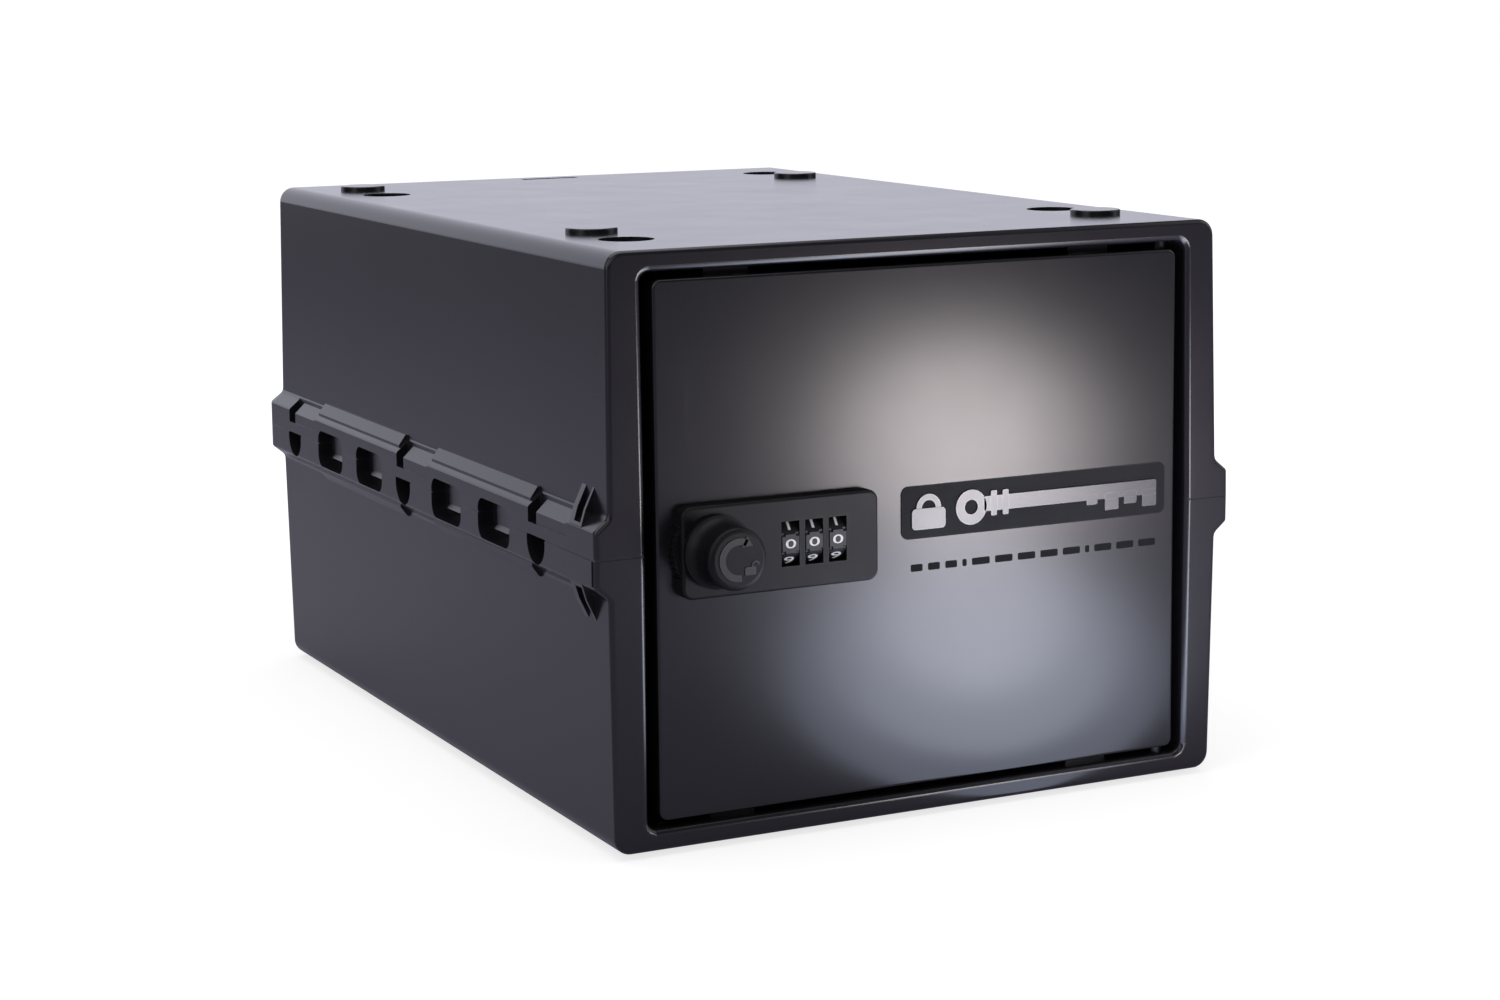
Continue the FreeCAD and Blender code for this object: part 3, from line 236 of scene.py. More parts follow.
@dataclass(frozen=True)
class Plastic:
    """Moulded plastic with a spark-eroded grain, flow marks, edges drawn lighter for wear from rubbing
    and a painted edge highlight, and fine scratches.
    """

    name: str
    colour: Rgb
    # Colour of the sharp edges: wear from rubbing, and a painted highlight where edges catch the light.
    rubbed: Rgb
    roughness: float
    swing: float = 0.06
    grain: float = 0.00035
    grain_depth: float = 0.00002
    grain_strength: float = 0.5
    specular: float = 0.5
    # Bluish tint laid on every reflection off the plastic: a painted reflection colour.
    sheen: Rgb = (0.93, 0.94, 1.0)
    scratches: float = 0.35
    edge: float = 0.0006
    waviness: float = 0.0
    mottle: tuple[float, float] = (0.88, 1.12)
    flow_size: float = 0.055
    speck_size: float = 0.0016
    rub_size: float = 0.009
    haze_size: float = 0.024
    wave_size: float = 0.03
    rub_polish: float = -0.08
    scratch_rough: float = 0.12
    scratch_depth: float = 0.00001

    def build(self) -> bpy.types.Material:
        """Make the material.

        Returns:
            The finished material.
        """
        sheet = NodeSheet(self.name)
        flow = sheet.noise(self.flow_size, 3.0, 0.55)
        speck = sheet.noise(self.speck_size, 2.0, 0.6)
        darker, lighter = (tuple(c * share for c in self.colour) for share in self.mottle)
        base = sheet.blend(sheet.span(flow, 0.3, 0.7, 0.0, 1.0), darker, lighter)
        # Sharp edges blend towards the edge colour: wear from rubbing and a painted edge highlight; the
        # same mask polishes them below.
        edge_mask = sheet.sums("MULTIPLY", sheet.edges(self.edge),
                          sheet.span(sheet.noise(self.rub_size, 4.0, 0.6), 0.38, 0.66, 0.15, 1.0))
        sheet.link(sheet.blend(edge_mask, base, self.rubbed), sheet.shader.inputs["Base Color"])
        streak = sheet.noise(1.0, 2.0, 0.5, sheet.stretched((900.0, 900.0, 16.0)))
        cross = sheet.noise(1.0, 2.0, 0.5, sheet.stretched((14.0, 700.0, 1100.0)))
        fine = sheet.sums("MAXIMUM", sheet.span(streak, 0.70, 0.80, 0.0, 1.0),
                          sheet.span(cross, 0.71, 0.80, 0.0, 1.0))
        fine = sheet.sums("MULTIPLY", fine, sheet.span(flow, 0.45, 0.62, 0.0, 1.0))
        rough = sheet.span(sheet.noise(self.haze_size, 4.0, 0.6), 0.25, 0.75,
                           self.roughness - self.swing, self.roughness + self.swing)
        scratched = sheet.sums("MULTIPLY", fine, self.scratches * self.scratch_rough)
        rough = sheet.sums("ADD", rough, scratched)
        rough = sheet.sums("ADD", rough, sheet.sums("MULTIPLY", edge_mask, self.rub_polish))
        sheet.link(rough, sheet.shader.inputs["Roughness"])
        sheet.value("Specular IOR Level", self.specular)
        # Painted bluish tint on the reflections.
        sheet.colour("Specular Tint", self.sheen)
        layers = [(sheet.noise(self.grain, 2.0, 0.5), self.grain_depth, self.grain_strength),
                  (speck, self.grain_depth, 0.4 * self.grain_strength),
                  (sheet.sums("MULTIPLY", fine, -1.0), self.scratch_depth, self.scratches)]
        if self.waviness:
            layers.insert(0, (sheet.noise(self.wave_size, 1.0, 0.4), self.waviness, 0.6))
        sheet.bumps(layers)
        return sheet.material


@dataclass(frozen=True)
class Metal:
    """Plated or rolled metal with a brushed lie, small stains and brighter edges."""

    name: str
    colour: Rgb
    stain: Rgb
    roughness: float
    brush: Span = (40.0, 40.0, 2600.0)
    brush_depth: float = 0.000006

    def build(self) -> bpy.types.Material:
        """Make the material.

        Returns:
            The finished material.
        """
        sheet = NodeSheet(self.name)
        stain = sheet.span(sheet.noise(0.004, 5.0, 0.65), 0.42, 0.72, 0.0, 0.75)
        # Every sharp edge is drawn 1.35 times lighter than the flats.
        edge_mask = sheet.edges(0.0004)
        base = sheet.blend(stain, self.colour, self.stain)
        bright = tuple(min(1.0, c * 1.35) for c in self.colour)
        sheet.link(sheet.blend(edge_mask, base, bright), sheet.shader.inputs["Base Color"])
        brushed = sheet.noise(1.0, 3.0, 0.6, sheet.stretched(self.brush))
        rough = sheet.span(brushed, 0.3, 0.7, self.roughness - 0.07, self.roughness + 0.09)
        rough = sheet.sums("ADD", rough, sheet.sums("MULTIPLY", stain, 0.18))
        sheet.link(rough, sheet.shader.inputs["Roughness"])
        sheet.value("Metallic", 1.0)
        sheet.bumps([(brushed, self.brush_depth, 0.35),
                     (sheet.noise(0.0009, 3.0, 0.6), 0.000008, 0.3)])
        return sheet.material


@dataclass(frozen=True)
class Enamel:
    """Paint pressed into small figures, a little uneven at its edges."""

    name: str
    colour: Rgb
    dull: Rgb
    roughness: float
    specular: float = 0.5

    def build(self) -> bpy.types.Material:
        """Make the material.

        Returns:
            The finished material.
        """
        sheet = NodeSheet(self.name)
        dirt = sheet.span(sheet.noise(0.0011, 4.0, 0.65), 0.5, 0.75, 0.0, 0.8)
        sheet.link(sheet.blend(dirt, self.colour, self.dull), sheet.shader.inputs["Base Color"])
        rough = sheet.span(sheet.noise(0.0006, 3.0, 0.6), 0.3, 0.7, self.roughness - 0.08,
                           self.roughness + 0.1)
        sheet.link(rough, sheet.shader.inputs["Roughness"])
        sheet.value("Specular IOR Level", self.specular)
        sheet.bumps([(sheet.noise(0.0003, 3.0, 0.6), 0.00001, 0.4)])
        return sheet.material


class Finish(Enum):
    """Every finish on the box, each built once when first asked for."""

    SHELL = Plastic("shell_black", (0.0100, 0.0092, 0.0118), (0.03, 0.03, 0.034), 0.22,
                    swing=0.012, grain_depth=0.000005, grain_strength=0.15)
    DOOR = Plastic("door_black", (0.0074, 0.0072, 0.0084), (0.05, 0.05, 0.054), 0.20,
                   swing=0.010, grain=0.0006, grain_depth=0.000004, grain_strength=0.2,
                   scratches=0.5, waviness=0.00001)
    PLATE = Plastic("plate_eroded_black", (0.0085, 0.0085, 0.0095), (0.03, 0.03, 0.033), 0.58,
                    grain=0.00045, grain_depth=0.00008, grain_strength=0.9, specular=0.16)
    LOCK = Plastic("lock_black", (0.0065, 0.0063, 0.0072), (0.03, 0.03, 0.032), 0.40,
                   grain=0.0004, grain_depth=0.00002, grain_strength=0.5, specular=0.2)
    WHEEL = Plastic("wheel_black", (0.005, 0.005, 0.006), (0.02, 0.02, 0.02), 0.36,
                    grain_strength=0.2, specular=0.35)
    EMBLEM = Plastic("emblem_silver_black", (0.045, 0.045, 0.048), (0.12, 0.12, 0.12), 0.24,
                     swing=0.02, grain_strength=0.15, specular=0.75)
    RELIEF = Plastic("relief_black", (0.009, 0.009, 0.010), (0.04, 0.04, 0.042), 0.36,
                     grain_strength=0.2)
    BLUED = Metal("blued_steel", (0.03, 0.03, 0.034), (0.02, 0.018, 0.016), 0.42)
    ZINC = Metal("cast_zinc", (0.42, 0.42, 0.41), (0.27, 0.26, 0.24), 0.42)
    STEEL = Metal("plated_steel", (0.58, 0.57, 0.55), (0.36, 0.33, 0.29), 0.28)
    FIGURES = Enamel("figure_white", (0.80, 0.80, 0.78), (0.42, 0.41, 0.39), 0.45)
    GROOVE = Enamel("groove_black", (0.004, 0.004, 0.005), (0.007, 0.007, 0.007), 0.7, 0.15)

    @property
    def material(self) -> bpy.types.Material:
        """The finish's material, made on first use."""
        found = bpy.data.materials.get(self.value.name)
        return found or self.value.build()


# ---------------------------------------------------------------- workbench


def deselect() -> None:
    """Leave nothing selected or active, in object mode."""
    if bpy.context.object is not None and bpy.context.object.mode != "OBJECT":
        bpy.ops.object.mode_set(mode="OBJECT")
    bpy.ops.object.select_all(action="DESELECT")


def choose(piece: bpy.types.Object) -> None:
    """Make a piece the only one selected, and the active one."""
    deselect()
    piece.select_set(True)
    bpy.context.view_layer.objects.active = piece


def active() -> bpy.types.Object:
    """The object that the last operator made."""
    return bpy.context.view_layer.objects.active


def settle(piece: bpy.types.Object) -> bpy.types.Object:
    """Bake a piece's place, turn and scale into its mesh.

    Args:
        piece: The piece.

    Returns:
        The same piece, its object at the origin.
    """
    choose(piece)
    bpy.ops.object.transform_apply(location=True, rotation=True, scale=True)
    return piece


def edit(piece: bpy.types.Object, mode: str = "FACE") -> None:
    """Open a piece in edit mode with nothing selected in it.

    Args:
        piece: The piece.
        mode: VERT, EDGE or FACE.
    """
    choose(piece)
    bpy.ops.object.mode_set(mode="EDIT")
    bpy.ops.mesh.select_mode(type=mode)
    bpy.ops.mesh.select_all(action="DESELECT")


def pick_faces(piece: bpy.types.Object,
               wanted: Callable[[bpy.types.MeshPolygon], bool]) -> None:
    """Select the faces of a piece that pass a test, and go back to edit mode.

    Args:
        piece: The piece, open in edit mode.
        wanted: The test.
    """
    bpy.ops.object.mode_set(mode="OBJECT")
    for face in piece.data.polygons:
        face.select = wanted(face)
    bpy.ops.object.mode_set(mode="EDIT")


def apply_bevel(piece: bpy.types.Object, width: float) -> None:
    """Round the sharp edges of a piece with an applied Bevel modifier.

    Args:
        piece: The piece.
        width: Bevel width in metres.
    """
    choose(piece)
    bevel = piece.modifiers.new("rounding", "BEVEL")
    bevel.width = width
    bevel.segments = BEVEL_STEPS
    bevel.limit_method = "ANGLE"
    bevel.angle_limit = SHARP
    bpy.ops.object.modifier_apply(modifier=bevel.name)


def joined(name: str, pieces: list[bpy.types.Object]) -> bpy.types.Object:
    """Join pieces into one.

    Args:
        name: Name of the result.
        pieces: The pieces.

    Returns:
        The joined piece.
    """
    deselect()
    for piece in pieces:
        piece.select_set(True)
    bpy.context.view_layer.objects.active = pieces[0]
    if len(pieces) > 1:
        bpy.ops.object.join()
    whole = active()
    whole.name = name
    whole.data.name = name
    return whole


def raised_bar(centre: Span, width: float, height: float, proud: float, corner: float,
               lean: float = 0.0) -> bpy.types.Object:
    """Flat bar that stands off a front face, its corners and brow rounded.

    Args:
        centre: Middle of its back face.
        width: Size along X.
        height: Size along Z.
        proud: How far its front stands towards -Y.
        corner: Radius of its four corners.
        lean: Turn about Y, in radians.

    Returns:
        The bar.
    """
    deselect()
    middle = (centre[0], centre[1] - proud / 2, centre[2])
    bpy.ops.mesh.primitive_cube_add(size=1.0, location=middle)
    bar = active()
    bar.scale = (width, proud, height)
    bar.rotation_euler = (0.0, lean, 0.0)
    choose(bar)
    bpy.ops.object.transform_apply(location=False, rotation=False, scale=True)
    edit(bar, "EDGE")
    bpy.ops.object.mode_set(mode="OBJECT")
    points = bar.data.vertices
    for edge in bar.data.edges:
        a, b = (points[i].co for i in edge.vertices)
        edge.select = abs(a.y - b.y) > 0.5 * proud and abs(a.x - b.x) < SAME
    bpy.ops.object.mode_set(mode="EDIT")
    bpy.ops.mesh.bevel(offset=corner, segments=CORNER_STEPS, affect="EDGES")
    pick_faces(bar, lambda face: face.normal.y < -0.9)
    brow = min(0.3 * proud, 0.4 * corner)
    bpy.ops.mesh.bevel(offset=brow, segments=BEVEL_STEPS, affect="EDGES")
    bpy.ops.object.mode_set(mode="OBJECT")
    return settle(bar)


def raised_ring(centre: Span, outer: float, inner: float, proud: float, start: float = 0.0,
                sweep: float = 2 * math.pi, steps: int = 48) -> bpy.types.Object:
    """Flat ring, or part of one, that stands off a front face.

    Args:
        centre: Middle of its back face.
        outer: Outer radius.
        inner: Inner radius.
        proud: How far its front stands towards -Y.
        start: Angle where it begins, from +X towards +Z, in radians.
        sweep: Angle that it covers, in radians.
        steps: Steps round the sweep.

    Returns:
        The ring.
    """
    deselect()
    band = outer - inner
    radius = (outer + inner) / 2
    away = Vector((math.cos(start), 0.0, math.sin(start)))
    middle = Vector(centre) + away * radius + Vector((0.0, -proud / 2, 0.0))
    bpy.ops.mesh.primitive_plane_add(size=1.0, location=middle)
    ring = active()
    ring.scale = (band, proud, 1.0)
    choose(ring)
    bpy.ops.object.transform_apply(location=False, rotation=False, scale=True)
    ring.rotation_euler = (0.0, -start, 0.0)
    settle(ring)
    edit(ring)
    bpy.ops.mesh.select_all(action="SELECT")
    bpy.ops.mesh.spin(steps=steps, angle=sweep, center=centre, axis=(0.0, 1.0, 0.0))
    bpy.ops.mesh.select_all(action="SELECT")
    bpy.ops.mesh.remove_doubles(threshold=SAME)
    if abs(sweep - 2 * math.pi) < SAME:
        pick_faces(ring, lambda face: abs(face.normal.y) < 0.1 and abs(
            (Vector(face.center) - Vector(centre)).length - radius) < 0.2 * band)
        bpy.ops.mesh.delete(type="FACE")
    else:
        bpy.ops.mesh.select_all(action="DESELECT")
        bpy.ops.mesh.select_mode(type="EDGE")
        bpy.ops.mesh.select_non_manifold()
        bpy.ops.mesh.edge_face_add()
    bpy.ops.mesh.select_all(action="SELECT")
    bpy.ops.mesh.normals_make_consistent(inside=False)
    bpy.ops.object.mode_set(mode="OBJECT")
    return ring


def raised_wedge(centre: Span, size: float, proud: float, heading: float) -> bpy.types.Object:
    """Three-sided arrow head that stands off a front face.

    Args:
        centre: Middle of its back face.
        size: Radius through its corners.
        proud: How far its front stands towards -Y.
        heading: Where it points, from +X towards +Z, in radians.

    Returns:
        The arrow head.
    """
    deselect()
    bpy.ops.mesh.primitive_cylinder_add(
        vertices=3, radius=size, depth=proud,
        location=(centre[0], centre[1] - proud / 2, centre[2]),
        rotation=(math.pi / 2, 0.0, 0.0))
    head = settle(active())
    tip = max(head.data.vertices, key=lambda v: v.co.z).co
    now = math.atan2(tip.z - centre[2], tip.x - centre[0])
    head.data.transform(Matrix.Translation(Vector(centre))
                        @ Matrix.Rotation(now - heading, 4, "Y")
                        @ Matrix.Translation(-Vector(centre)))
    apply_bevel(head, 0.12 * proud + WEDGE_ROUND)
    return head


def dress(piece: bpy.types.Object, finish: Finish, body: str) -> None:
    """Give a new piece its finish, its body and its material slot, and report it.

    Args:
        piece: The piece.
        finish: Its finish.
        body: CAD body that it rides on.
    """
    piece.data.materials.clear()
    piece.data.materials.append(finish.material)
    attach(piece, body)
    LOG.info("%s: %d faces, rides on %s", piece.name, len(piece.data.polygons), body)


def refinish(node: str, finish: Finish) -> None:
    """Give a CAD node its finish.

    Args:
        node: Name of the node.
        finish: The finish.
    """
    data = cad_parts[node].data
    if data.materials:
        for index in range(len(data.materials)):
            data.materials[index] = finish.material
    else:
        data.materials.append(finish.material)
    LOG.info("%s: finished in %s", node, finish.value.name)


# ---------------------------------------------------------------- sub-assemblies


@dataclass
class Carcass:
    """The two half shells and the pins that they carry."""

    shells: tuple[str, str] = ("upper_shell", "lower_shell")
    pins: tuple[str, str] = ("hinge_pin_upper", "hinge_pin_lower")

    def build(self) -> None:
        """Finish the shells and pins."""
        for node in self.shells:
            refinish(node, Finish.SHELL)
        for node in self.pins:
            refinish(node, Finish.BLUED)


@dataclass(frozen=True)
class PadlockShape:
    """Sizes of the plain padlock on the name plate."""

    width: float = 11.4 * MM
    corner: float = 1.3 * MM
    shackle_r: float = 6.6 * MM * 0.62
    shackle_wire: float = 1.8 * MM
    shackle_steps: int = 24


@dataclass(frozen=True)
class KeyShape:
    """Sizes of the plain key on the name plate; each tooth is its place, width and drop."""

    gap: float = 3.4 * MM
    rim: float = 3.0 * MM
    bite: float = 0.9 * MM
    lift: float = 0.6 * MM
    shank_height: float = 4.6 * MM
    shank_corner: float = 0.7 * MM
    collars: tuple[float, ...] = (3.4 * MM, 7.4 * MM)
    collar_width: float = 2.2 * MM
    collar_height: float = 7.6 * MM
    collar_share: float = 0.98
    collar_corner: float = 0.5 * MM
    teeth: tuple[Span, ...] = ((2.6, 5.2, 1.0), (9.4, 4.6, 0.74), (16.0, 5.0, 1.0), (23.0, 4.0, 0.6))
    tooth_share: float = 0.96
    tooth_corner: float = 0.6 * MM


@dataclass(frozen=True)
class KnobMarks:
    """Sizes of the turning arrow and the small open padlock on the knob's cap."""

    outer: float = 6.1 * MM
    inner: float = 4.2 * MM
    start: float = math.radians(62.0)
    sweep: float = math.radians(215.0)
    steps: int = 30
    head: float = 2.0 * MM
    lock_right: float = 3.4 * MM
    lock_below: float = 3.3 * MM
    lock_width: float = 3.4 * MM
    lock_height: float = 2.4 * MM
    lock_corner: float = 0.4 * MM
    hoop_right: float = 1.6 * MM
    hoop_above: float = 1.5 * MM
    hoop_outer: float = 1.25 * MM
    hoop_inner: float = 0.75 * MM
    hoop_steps: int = 12
    leg_right: float = 0.6 * MM
    leg_above: float = 1.2 * MM
    leg_width: float = 0.5 * MM
    leg_height: float = 1.0 * MM
    leg_corner: float = 0.1 * MM
    thin_share: float = 0.95


@dataclass
class Door:
    """The door, its let-in plate, and the marks on both."""

    padlock: PadlockShape = PadlockShape()
    key: KeyShape = KeyShape()
    mark_proud: float = 0.35 * MM
    mark_height: float = 10.4 * MM
    mark_side: float = 3.2 * MM
    dash_height: float = 2.1 * MM
    dash_proud: float = 0.12 * MM
    dash_below: float = 8.6 * MM
    dash_lengths: tuple[float, ...] = (3.4, 3.4, 3.4, 1.2, 5.2, 5.2, 5.2, 5.2, 5.2, 1.2, 5.2, 5.2, 5.2)
    dash_gap: float = 1.9 * MM
    dash_corner: float = 0.45 * MM

    def build(self) -> None:
        """Finish the door and model its marks."""
        refinish("door_panel", Finish.DOOR)
        refinish("name_plate", Finish.PLATE)
        self.key_mark()
        self.dash_line()

    def key_mark(self) -> None:
        """A plain padlock and a plain key, raised side by side on the plate."""
        low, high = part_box("name_plate")
        y, z = low.y, (low.z + high.z) / 2
        proud, tall = self.mark_proud, self.mark_height
        x0, x1 = low.x + self.mark_side, high.x - self.mark_side
        shape = self.padlock
        mid = x0 + shape.width / 2
        hang = z + tall / 2 - shape.shackle_r
        padlock = [raised_bar((mid, y, (hang + z - tall / 2) / 2), shape.width, hang - z + tall / 2,
                              proud, shape.corner),
                   raised_ring((mid, y, hang), shape.shackle_r, shape.shackle_r - shape.shackle_wire,
                               proud, 0.0, math.pi, shape.shackle_steps)]
        form = self.key
        bow_x = x0 + shape.width + form.gap + tall / 2
        key = [raised_ring((bow_x, y, z), tall / 2, tall / 2 - form.rim, proud)]
        shank_x0 = bow_x + tall / 2 - form.bite
        key.append(raised_bar(((shank_x0 + x1) / 2, y, z + form.lift), x1 - shank_x0,
                              form.shank_height, proud, form.shank_corner))
        for at in form.collars:
            key.append(raised_bar((shank_x0 + at, y, z + form.lift), form.collar_width,
                                  form.collar_height, form.collar_share * proud, form.collar_corner))
        foot = z - tall / 2
        for at, wide, drop in form.teeth:
            tooth = z - (z - foot) * drop
            key.append(raised_bar((x1 - at * MM, y, (z + tooth) / 2), wide * MM, z - tooth,
                                  form.tooth_share * proud, form.tooth_corner))
        mark = joined("plate_key_mark", padlock + key)
        dress(mark, Finish.EMBLEM, "door")

    def dash_line(self) -> None:
        """A line of plain dashes and dots under the plate."""
        low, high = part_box("name_plate")
        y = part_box("door_panel")[0].y
        z = low.z - self.dash_below
        lengths = [length * MM for length in self.dash_lengths]
        room = high.x - low.x - 2 * self.mark_side
        share = (room - self.dash_gap * (len(lengths) - 1)) / sum(lengths)
        x = low.x + self.mark_side
        parts = []
        for length in lengths:
            long = length * share
            parts.append(raised_bar((x + long / 2, y, z), long, self.dash_height,
                                    self.dash_proud, self.dash_corner))
            x += long + self.dash_gap
        line = joined("door_dash_line", parts)
        dress(line, Finish.GROOVE, "door")


@dataclass
class Lock:
    """The combination lock: faceplate, knob, digit wheels and the works behind the door."""

    sides: tuple[str, str, str] = ("left", "middle", "right")
    digits: int = 10
    figure_height: float = 2.6 * MM
    figure_proud: float = 0.05 * MM
    figure_stretch: float = 2.0
    font_steps: int = 4
    font_extrude: float = 0.02
    font_offset: float = 0.004
    cap_proud: float = 0.22 * MM
    marks: KnobMarks = KnobMarks()
    plastics: tuple[str, ...] = ("lock_faceplate", "lock_housing", "lock_back_cover", "knob",
                                 "knob_cap", "thumb_wheel", "reset_lever")
    zincs: tuple[str, ...] = ("lock_spindle", "locking_slider", "code_sleeve_left",
                              "code_sleeve_middle", "code_sleeve_right")
    steels: tuple[str, ...] = ("latch_cam", "cam_washer", "cam_screw", "wheel_axle",
                               "lock_fixing_screws", "cover_screws", "slider_spring",
                               "wheel_detent_spring")

    def build(self) -> None:
        """Finish the nodes and model the figures and the knob's marks."""
        for node in self.plastics:
            refinish(node, Finish.LOCK)
        for node in self.zincs:
            refinish(node, Finish.ZINC)
        for node in self.steels:
            refinish(node, Finish.STEEL)
        for side in self.sides:
            refinish("digit_wheel_" + side, Finish.WHEEL)
            self.figures(side)
        self.knob_marks()

    def figures(self, side: str) -> None:
        """The figures 0 to 9 round one digit wheel.

        Args:
            side: Which wheel.
        """
        low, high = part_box("digit_wheel_" + side)
        middle = (low + high) / 2
        flat = middle.y - low.y
        parts = []
        for digit in range(self.digits):
            deselect()
            bpy.ops.object.text_add(location=(0.0, 0.0, 0.0))
            text = active()
            text.data.body = str(digit)
            text.data.align_x = "CENTER"
            text.data.align_y = "CENTER"
            text.data.size = 1.0
            text.data.resolution_u = self.font_steps
            text.data.extrude = self.font_extrude
            text.data.offset = self.font_offset
            bpy.ops.object.convert(target="MESH")
            figure = active()
            xs = [v.co.x for v in figure.data.vertices]
            ys = [v.co.y for v in figure.data.vertices]
            tall = max(ys) - min(ys)
            scale = self.figure_height / tall
            turn = -2 * math.pi * digit / self.digits
            figure.data.transform(
                Matrix.Translation(middle)
                @ Matrix.Rotation(turn, 4, "X")
                @ Matrix.Translation((0.0, -flat - self.figure_proud / 2, 0.0))
                @ Matrix.Rotation(math.pi / 2, 4, "X")
                @ Matrix.Diagonal((scale * self.figure_stretch, scale,
                                   self.figure_proud / (2 * self.font_extrude), 1.0))
                @ Matrix.Translation((-(max(xs) + min(xs)) / 2, -(max(ys) + min(ys)) / 2, 0.0)))
            parts.append(figure)
        ring = joined("figures_" + side, parts)
        dress(ring, Finish.FIGURES, "wheel_" + side)

    def knob_marks(self) -> None:
        """A turning arrow and a small open padlock, raised on the knob's cap."""
        low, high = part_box("knob_cap")
        y = low.y
        centre = ((low.x + high.x) / 2, y, (low.z + high.z) / 2)
        proud, form = self.cap_proud, self.marks
        thin = proud * form.thin_share
        arrow = [raised_ring(centre, form.outer, form.inner, proud, form.start, form.sweep, form.steps)]
        mean = (form.outer + form.inner) / 2
        head = (centre[0] + mean * math.cos(form.start), y, centre[2] + mean * math.sin(form.start))
        arrow.append(raised_wedge(head, form.head, proud, form.start - math.pi / 2))
        turning = joined("knob_turn_arrow", arrow)
        dress(turning, Finish.RELIEF, "knob")
        x, z = centre[0] + form.lock_right, centre[2] - form.lock_below
        hoop = (x + form.hoop_right, y, z + form.hoop_above)
        leg = (x + form.leg_right, y, z + form.leg_above)
        lock = [raised_bar((x, y, z), form.lock_width, form.lock_height, proud, form.lock_corner),
                raised_ring(hoop, form.hoop_outer, form.hoop_inner, thin, 0.0, math.pi,
                            form.hoop_steps),
                raised_bar(leg, form.leg_width, form.leg_height, thin, form.leg_corner)]
        padlock = joined("knob_padlock_mark", lock)
        dress(padlock, Finish.RELIEF, "knob")


# ---------------------------------------------------------------- studio


WARM = (1.0, 0.91, 0.86)
STRIP = (0.507, -0.862, 0.0)    # long way of the low lamps, towards the camera's mirror image
GLANCE = (0.015, -0.1475, 0.11)    # point of the door that the two warm lamps look at
MIDDLE = (0.0, 0.0, 0.1)


@dataclass(frozen=True)
class Softbox:
    """A rectangular or round soft lamp that looks at a point."""

    name: str
    at: Span
    towards: Span
    size: tuple[float, float]
    power: float
    tint: Rgb = WHITE
    round: bool = False
    along: Span = (1.0, 0.0, 0.0)

    def hang(self) -> None:
        """Put the lamp in the scene, unseen by the camera."""
        data = bpy.data.lights.new(self.name, "AREA")
        data.shape = "ELLIPSE" if self.round else "RECTANGLE"
        data.size, data.size_y = self.size
        data.energy = self.power
        data.color = self.tint
        lamp = bpy.data.objects.new(self.name, data)
        lamp.location = self.at
        back = (Vector(self.at) - Vector(self.towards)).normalized()
        side = Vector(self.along)
        side = (side - back * side.dot(back)).normalized()
        lamp.rotation_euler = Matrix((side, back.cross(side), back)).transposed().to_euler()
        lamp.visible_camera = False
        bpy.context.scene.collection.objects.link(lamp)
        LOG.info("%s: %.1f W", self.name, self.power)


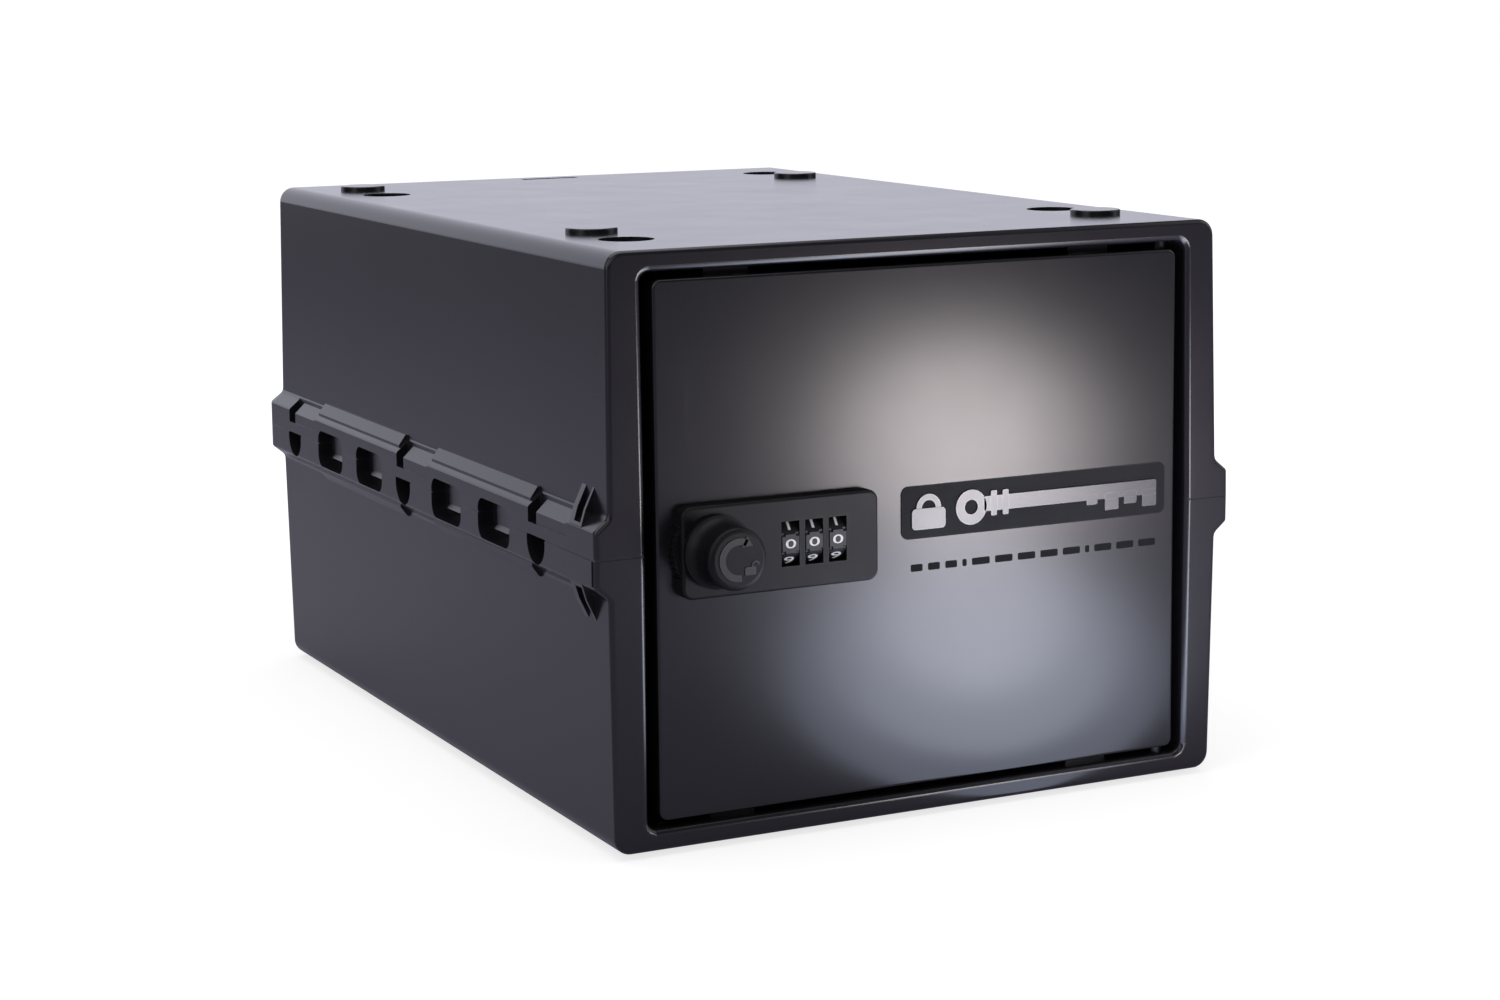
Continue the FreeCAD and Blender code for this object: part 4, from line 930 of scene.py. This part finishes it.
@dataclass
class Studio:
    """Pale floor, backdrop, lamps and camera.

    The first four lamps light the room. The last five are small and close to the door, two upright
    and three lying just above the floor, and its glow is their reflection. floor_seen is the floor's
    glow for the eye near the box, and floor_shown and sky_shown are the glow of the floor and of the
    room in reflections, which is well under white.
    """

    camera_at: Span = (-0.42260, -0.89121, 0.24691)
    azimuth: float = -27.158
    elevation: float = 8.177
    roll: float = -0.502
    lens: float = 71.705
    shift: tuple[float, float] = (-0.0333, -0.0667)
    world: Rgb = (0.055, 0.055, 0.06)
    floor_white: float = 0.45
    floor_seen: float = 0.75
    floor_shown: float = 0.12
    sky_shown: float = 0.04
    clear_from: float = 0.30
    clear_to: float = 0.62
    wall_tint: Rgb = (1.0, 1.0, 1.16)
    floor_tint: Rgb = (1.0, 0.95, 1.17)
    floor_size: tuple[float, float] = (10.0, 9.8)
    wall_white: float = 0.2
    wall_at: Span = (0.0, 4.9, 2.0)
    wall_size: tuple[float, float] = (10.0, 4.0)
    sensor: float = 36.0
    clip: tuple[float, float] = (0.01, 50.0)
    lamps: list[Softbox] = field(default_factory=lambda: [
        Softbox("top_box", (-0.1, 0.1, 1.3), MIDDLE, (1.4, 1.4), 12.0),
        Softbox("left_box", (-1.5, -0.5, 0.9), MIDDLE, (1.5, 1.5), 8.0, (0.97, 0.96, 1.0)),
        Softbox("front_box", (-0.7, -2.2, 1.3), MIDDLE, (1.6, 1.2), 4.5),
        Softbox("right_box", (1.5, -0.5, 0.9), MIDDLE, (1.5, 1.5), 7.0),
        Softbox("front_wide", (0.214, -0.492, 0.046), GLANCE, (0.125, 0.095), 0.165, WARM,
                round=True),
        Softbox("front_core", (0.210, -0.492, 0.050), GLANCE, (0.085, 0.080), 0.20, WARM,
                round=True),
        Softbox("low_wide", (0.120, -0.325, 0.002), (0.120, -0.325, 1.0), (0.40, 0.14), 0.39,
                (0.75, 0.83, 1.0), round=True, along=STRIP),
        Softbox("low_mid", (0.132, -0.345, 0.003), (0.132, -0.345, 1.0), (0.36, 0.11), 0.32,
                (0.86, 0.90, 1.0), round=True, along=STRIP),
        Softbox("low_core", (0.155, -0.385, 0.004), (0.155, -0.385, 1.0), (0.30, 0.075), 0.26,
                (0.95, 0.95, 1.0), round=True, along=STRIP),
    ])

    def build(self) -> None:
        """Make the whole studio."""
        bpy.context.scene.view_settings.view_transform = "Standard"
        self.light_world()
        self.lay_floor()
        for lamp in self.lamps:
            lamp.hang()
        self.set_camera()

    def light_world(self) -> None:
        """Dim even light from all round, which the eye sees as white."""
        world = bpy.data.worlds.new("room")
        bpy.context.scene.world = world
        world.use_nodes = True
        nodes, links = world.node_tree.nodes, world.node_tree.links
        path = nodes.new("ShaderNodeLightPath")
        bounced = nodes.new("ShaderNodeMath")
        bounced.operation = "ADD"
        share = nodes.new("ShaderNodeMath")
        share.operation = "MULTIPLY_ADD"
        share.inputs[1].default_value = self.sky_shown
        clear = nodes.new("ShaderNodeMix")
        clear.data_type = "RGBA"
        for slot, rgb in zip(MIX_COLOURS, (self.world, WHITE)):
            clear.inputs[slot].default_value = (*rgb, 1.0)
        for source, target in ((path.outputs["Is Glossy Ray"], bounced.inputs[0]),
                               (path.outputs["Is Transmission Ray"], bounced.inputs[1]),
                               (bounced.outputs[0], share.inputs[0]),
                               (path.outputs["Is Camera Ray"], share.inputs[2]),
                               (share.outputs[0], clear.inputs[0]),
                               (clear.outputs[MIX_RESULT], nodes["Background"].inputs["Color"])):
            links.new(source, target)

    def pale(self, name: str, white: float, seen: float, shown: float,
             tint: Rgb) -> bpy.types.Material:
        """Matt white that also glows for the eye, and for reflections.

        Args:
            name: Name of the material.
            white: Its matt part.
            seen: Its glow for the eye near the box; it rises to full white far off.
            shown: Its glow in reflections and through clear things.
            tint: Colour of its matt part and of that glow.

        Returns:
            The material.
        """
        sheet = NodeSheet(name)
        sheet.tree.nodes.remove(sheet.shader)
        matt = sheet.tree.nodes.new("ShaderNodeBsdfDiffuse")
        shine = sheet.tree.nodes.new("ShaderNodeEmission")
        path = sheet.tree.nodes.new("ShaderNodeLightPath")
        eye_ray = path.outputs["Is Camera Ray"]
        sheet.link(sheet.blend(eye_ray, tint, WHITE), shine.inputs["Color"])
        tinted = tuple(white * c / max(tint) for c in tint)
        sheet.link(sheet.blend(eye_ray, tinted, (white, white, white)), matt.inputs["Color"])
        far = sheet.tree.nodes.new("ShaderNodeVectorMath")
        far.operation = "LENGTH"
        sheet.link(sheet.place, far.inputs[0])
        lift = sheet.span(far.outputs["Value"], self.clear_from, self.clear_to, seen, 1.0)
        eye = sheet.sums("MULTIPLY", eye_ray, lift)
        bounced = sheet.sums("ADD", path.outputs["Is Glossy Ray"], path.outputs["Is Transmission Ray"])
        bounced = sheet.sums("MULTIPLY", sheet.sums("MINIMUM", bounced, 1.0), shown)
        sheet.link(sheet.sums("ADD", eye, bounced), shine.inputs["Strength"])
        total = sheet.tree.nodes.new("ShaderNodeAddShader")
        sheet.link(matt.outputs[0], total.inputs[0])
        sheet.link(shine.outputs[0], total.inputs[1])
        sheet.link(total.outputs[0], sheet.output.inputs["Surface"])
        return sheet.material

    def lay_floor(self) -> None:
        """A floor under the box and a backdrop far behind it."""
        deselect()
        bpy.ops.mesh.primitive_plane_add(size=1.0, location=(0.0, 0.0, 0.0))
        floor = active()
        floor.name = "floor"
        floor.scale = (*self.floor_size, 1.0)
        settle(floor)
        floor.data.materials.append(self.pale("floor_white", self.floor_white, self.floor_seen,
                                              self.floor_shown, self.floor_tint))
        bpy.ops.mesh.primitive_plane_add(size=1.0, location=self.wall_at,
                                         rotation=(math.pi / 2, 0.0, 0.0))
        wall = active()
        wall.name = "backdrop"
        wall.scale = (*self.wall_size, 1.0)
        settle(wall)
        wall.data.materials.append(self.pale("backdrop_white", self.wall_white, 1.0, 1.0,
                                             self.wall_tint))

    def set_camera(self) -> None:
        """Put the camera in its place."""
        data = bpy.data.cameras.new("camera")
        data.sensor_width = self.sensor
        data.lens = self.lens
        data.shift_x, data.shift_y = self.shift
        data.clip_start, data.clip_end = self.clip
        camera = bpy.data.objects.new("camera", data)
        a, e, r = (math.radians(v) for v in (self.azimuth, self.elevation, self.roll))
        back = Vector((math.sin(a) * math.cos(e), -math.cos(a) * math.cos(e), math.sin(e)))
        right = (-back).cross(Vector((0.0, 0.0, 1.0))).normalized()
        up = back.cross(right)
        turned = right * math.cos(r) + up * math.sin(r)
        risen = up * math.cos(r) - right * math.sin(r)
        camera.rotation_euler = Matrix((turned, risen, back)).transposed().to_euler()
        camera.location = self.camera_at
        bpy.context.scene.collection.objects.link(camera)
        bpy.context.scene.camera = camera


# ---------------------------------------------------------------- main


def main() -> None:
    """Build the sub-assemblies in order, then the studio."""
    logging.basicConfig(level=logging.INFO, format="%(name)s %(message)s")
    for assembly in (Carcass(), Door(), Lock(), Studio()):
        LOG.info("building %s", type(assembly).__name__)
        assembly.build()


if __name__ == "__main__":
    main()
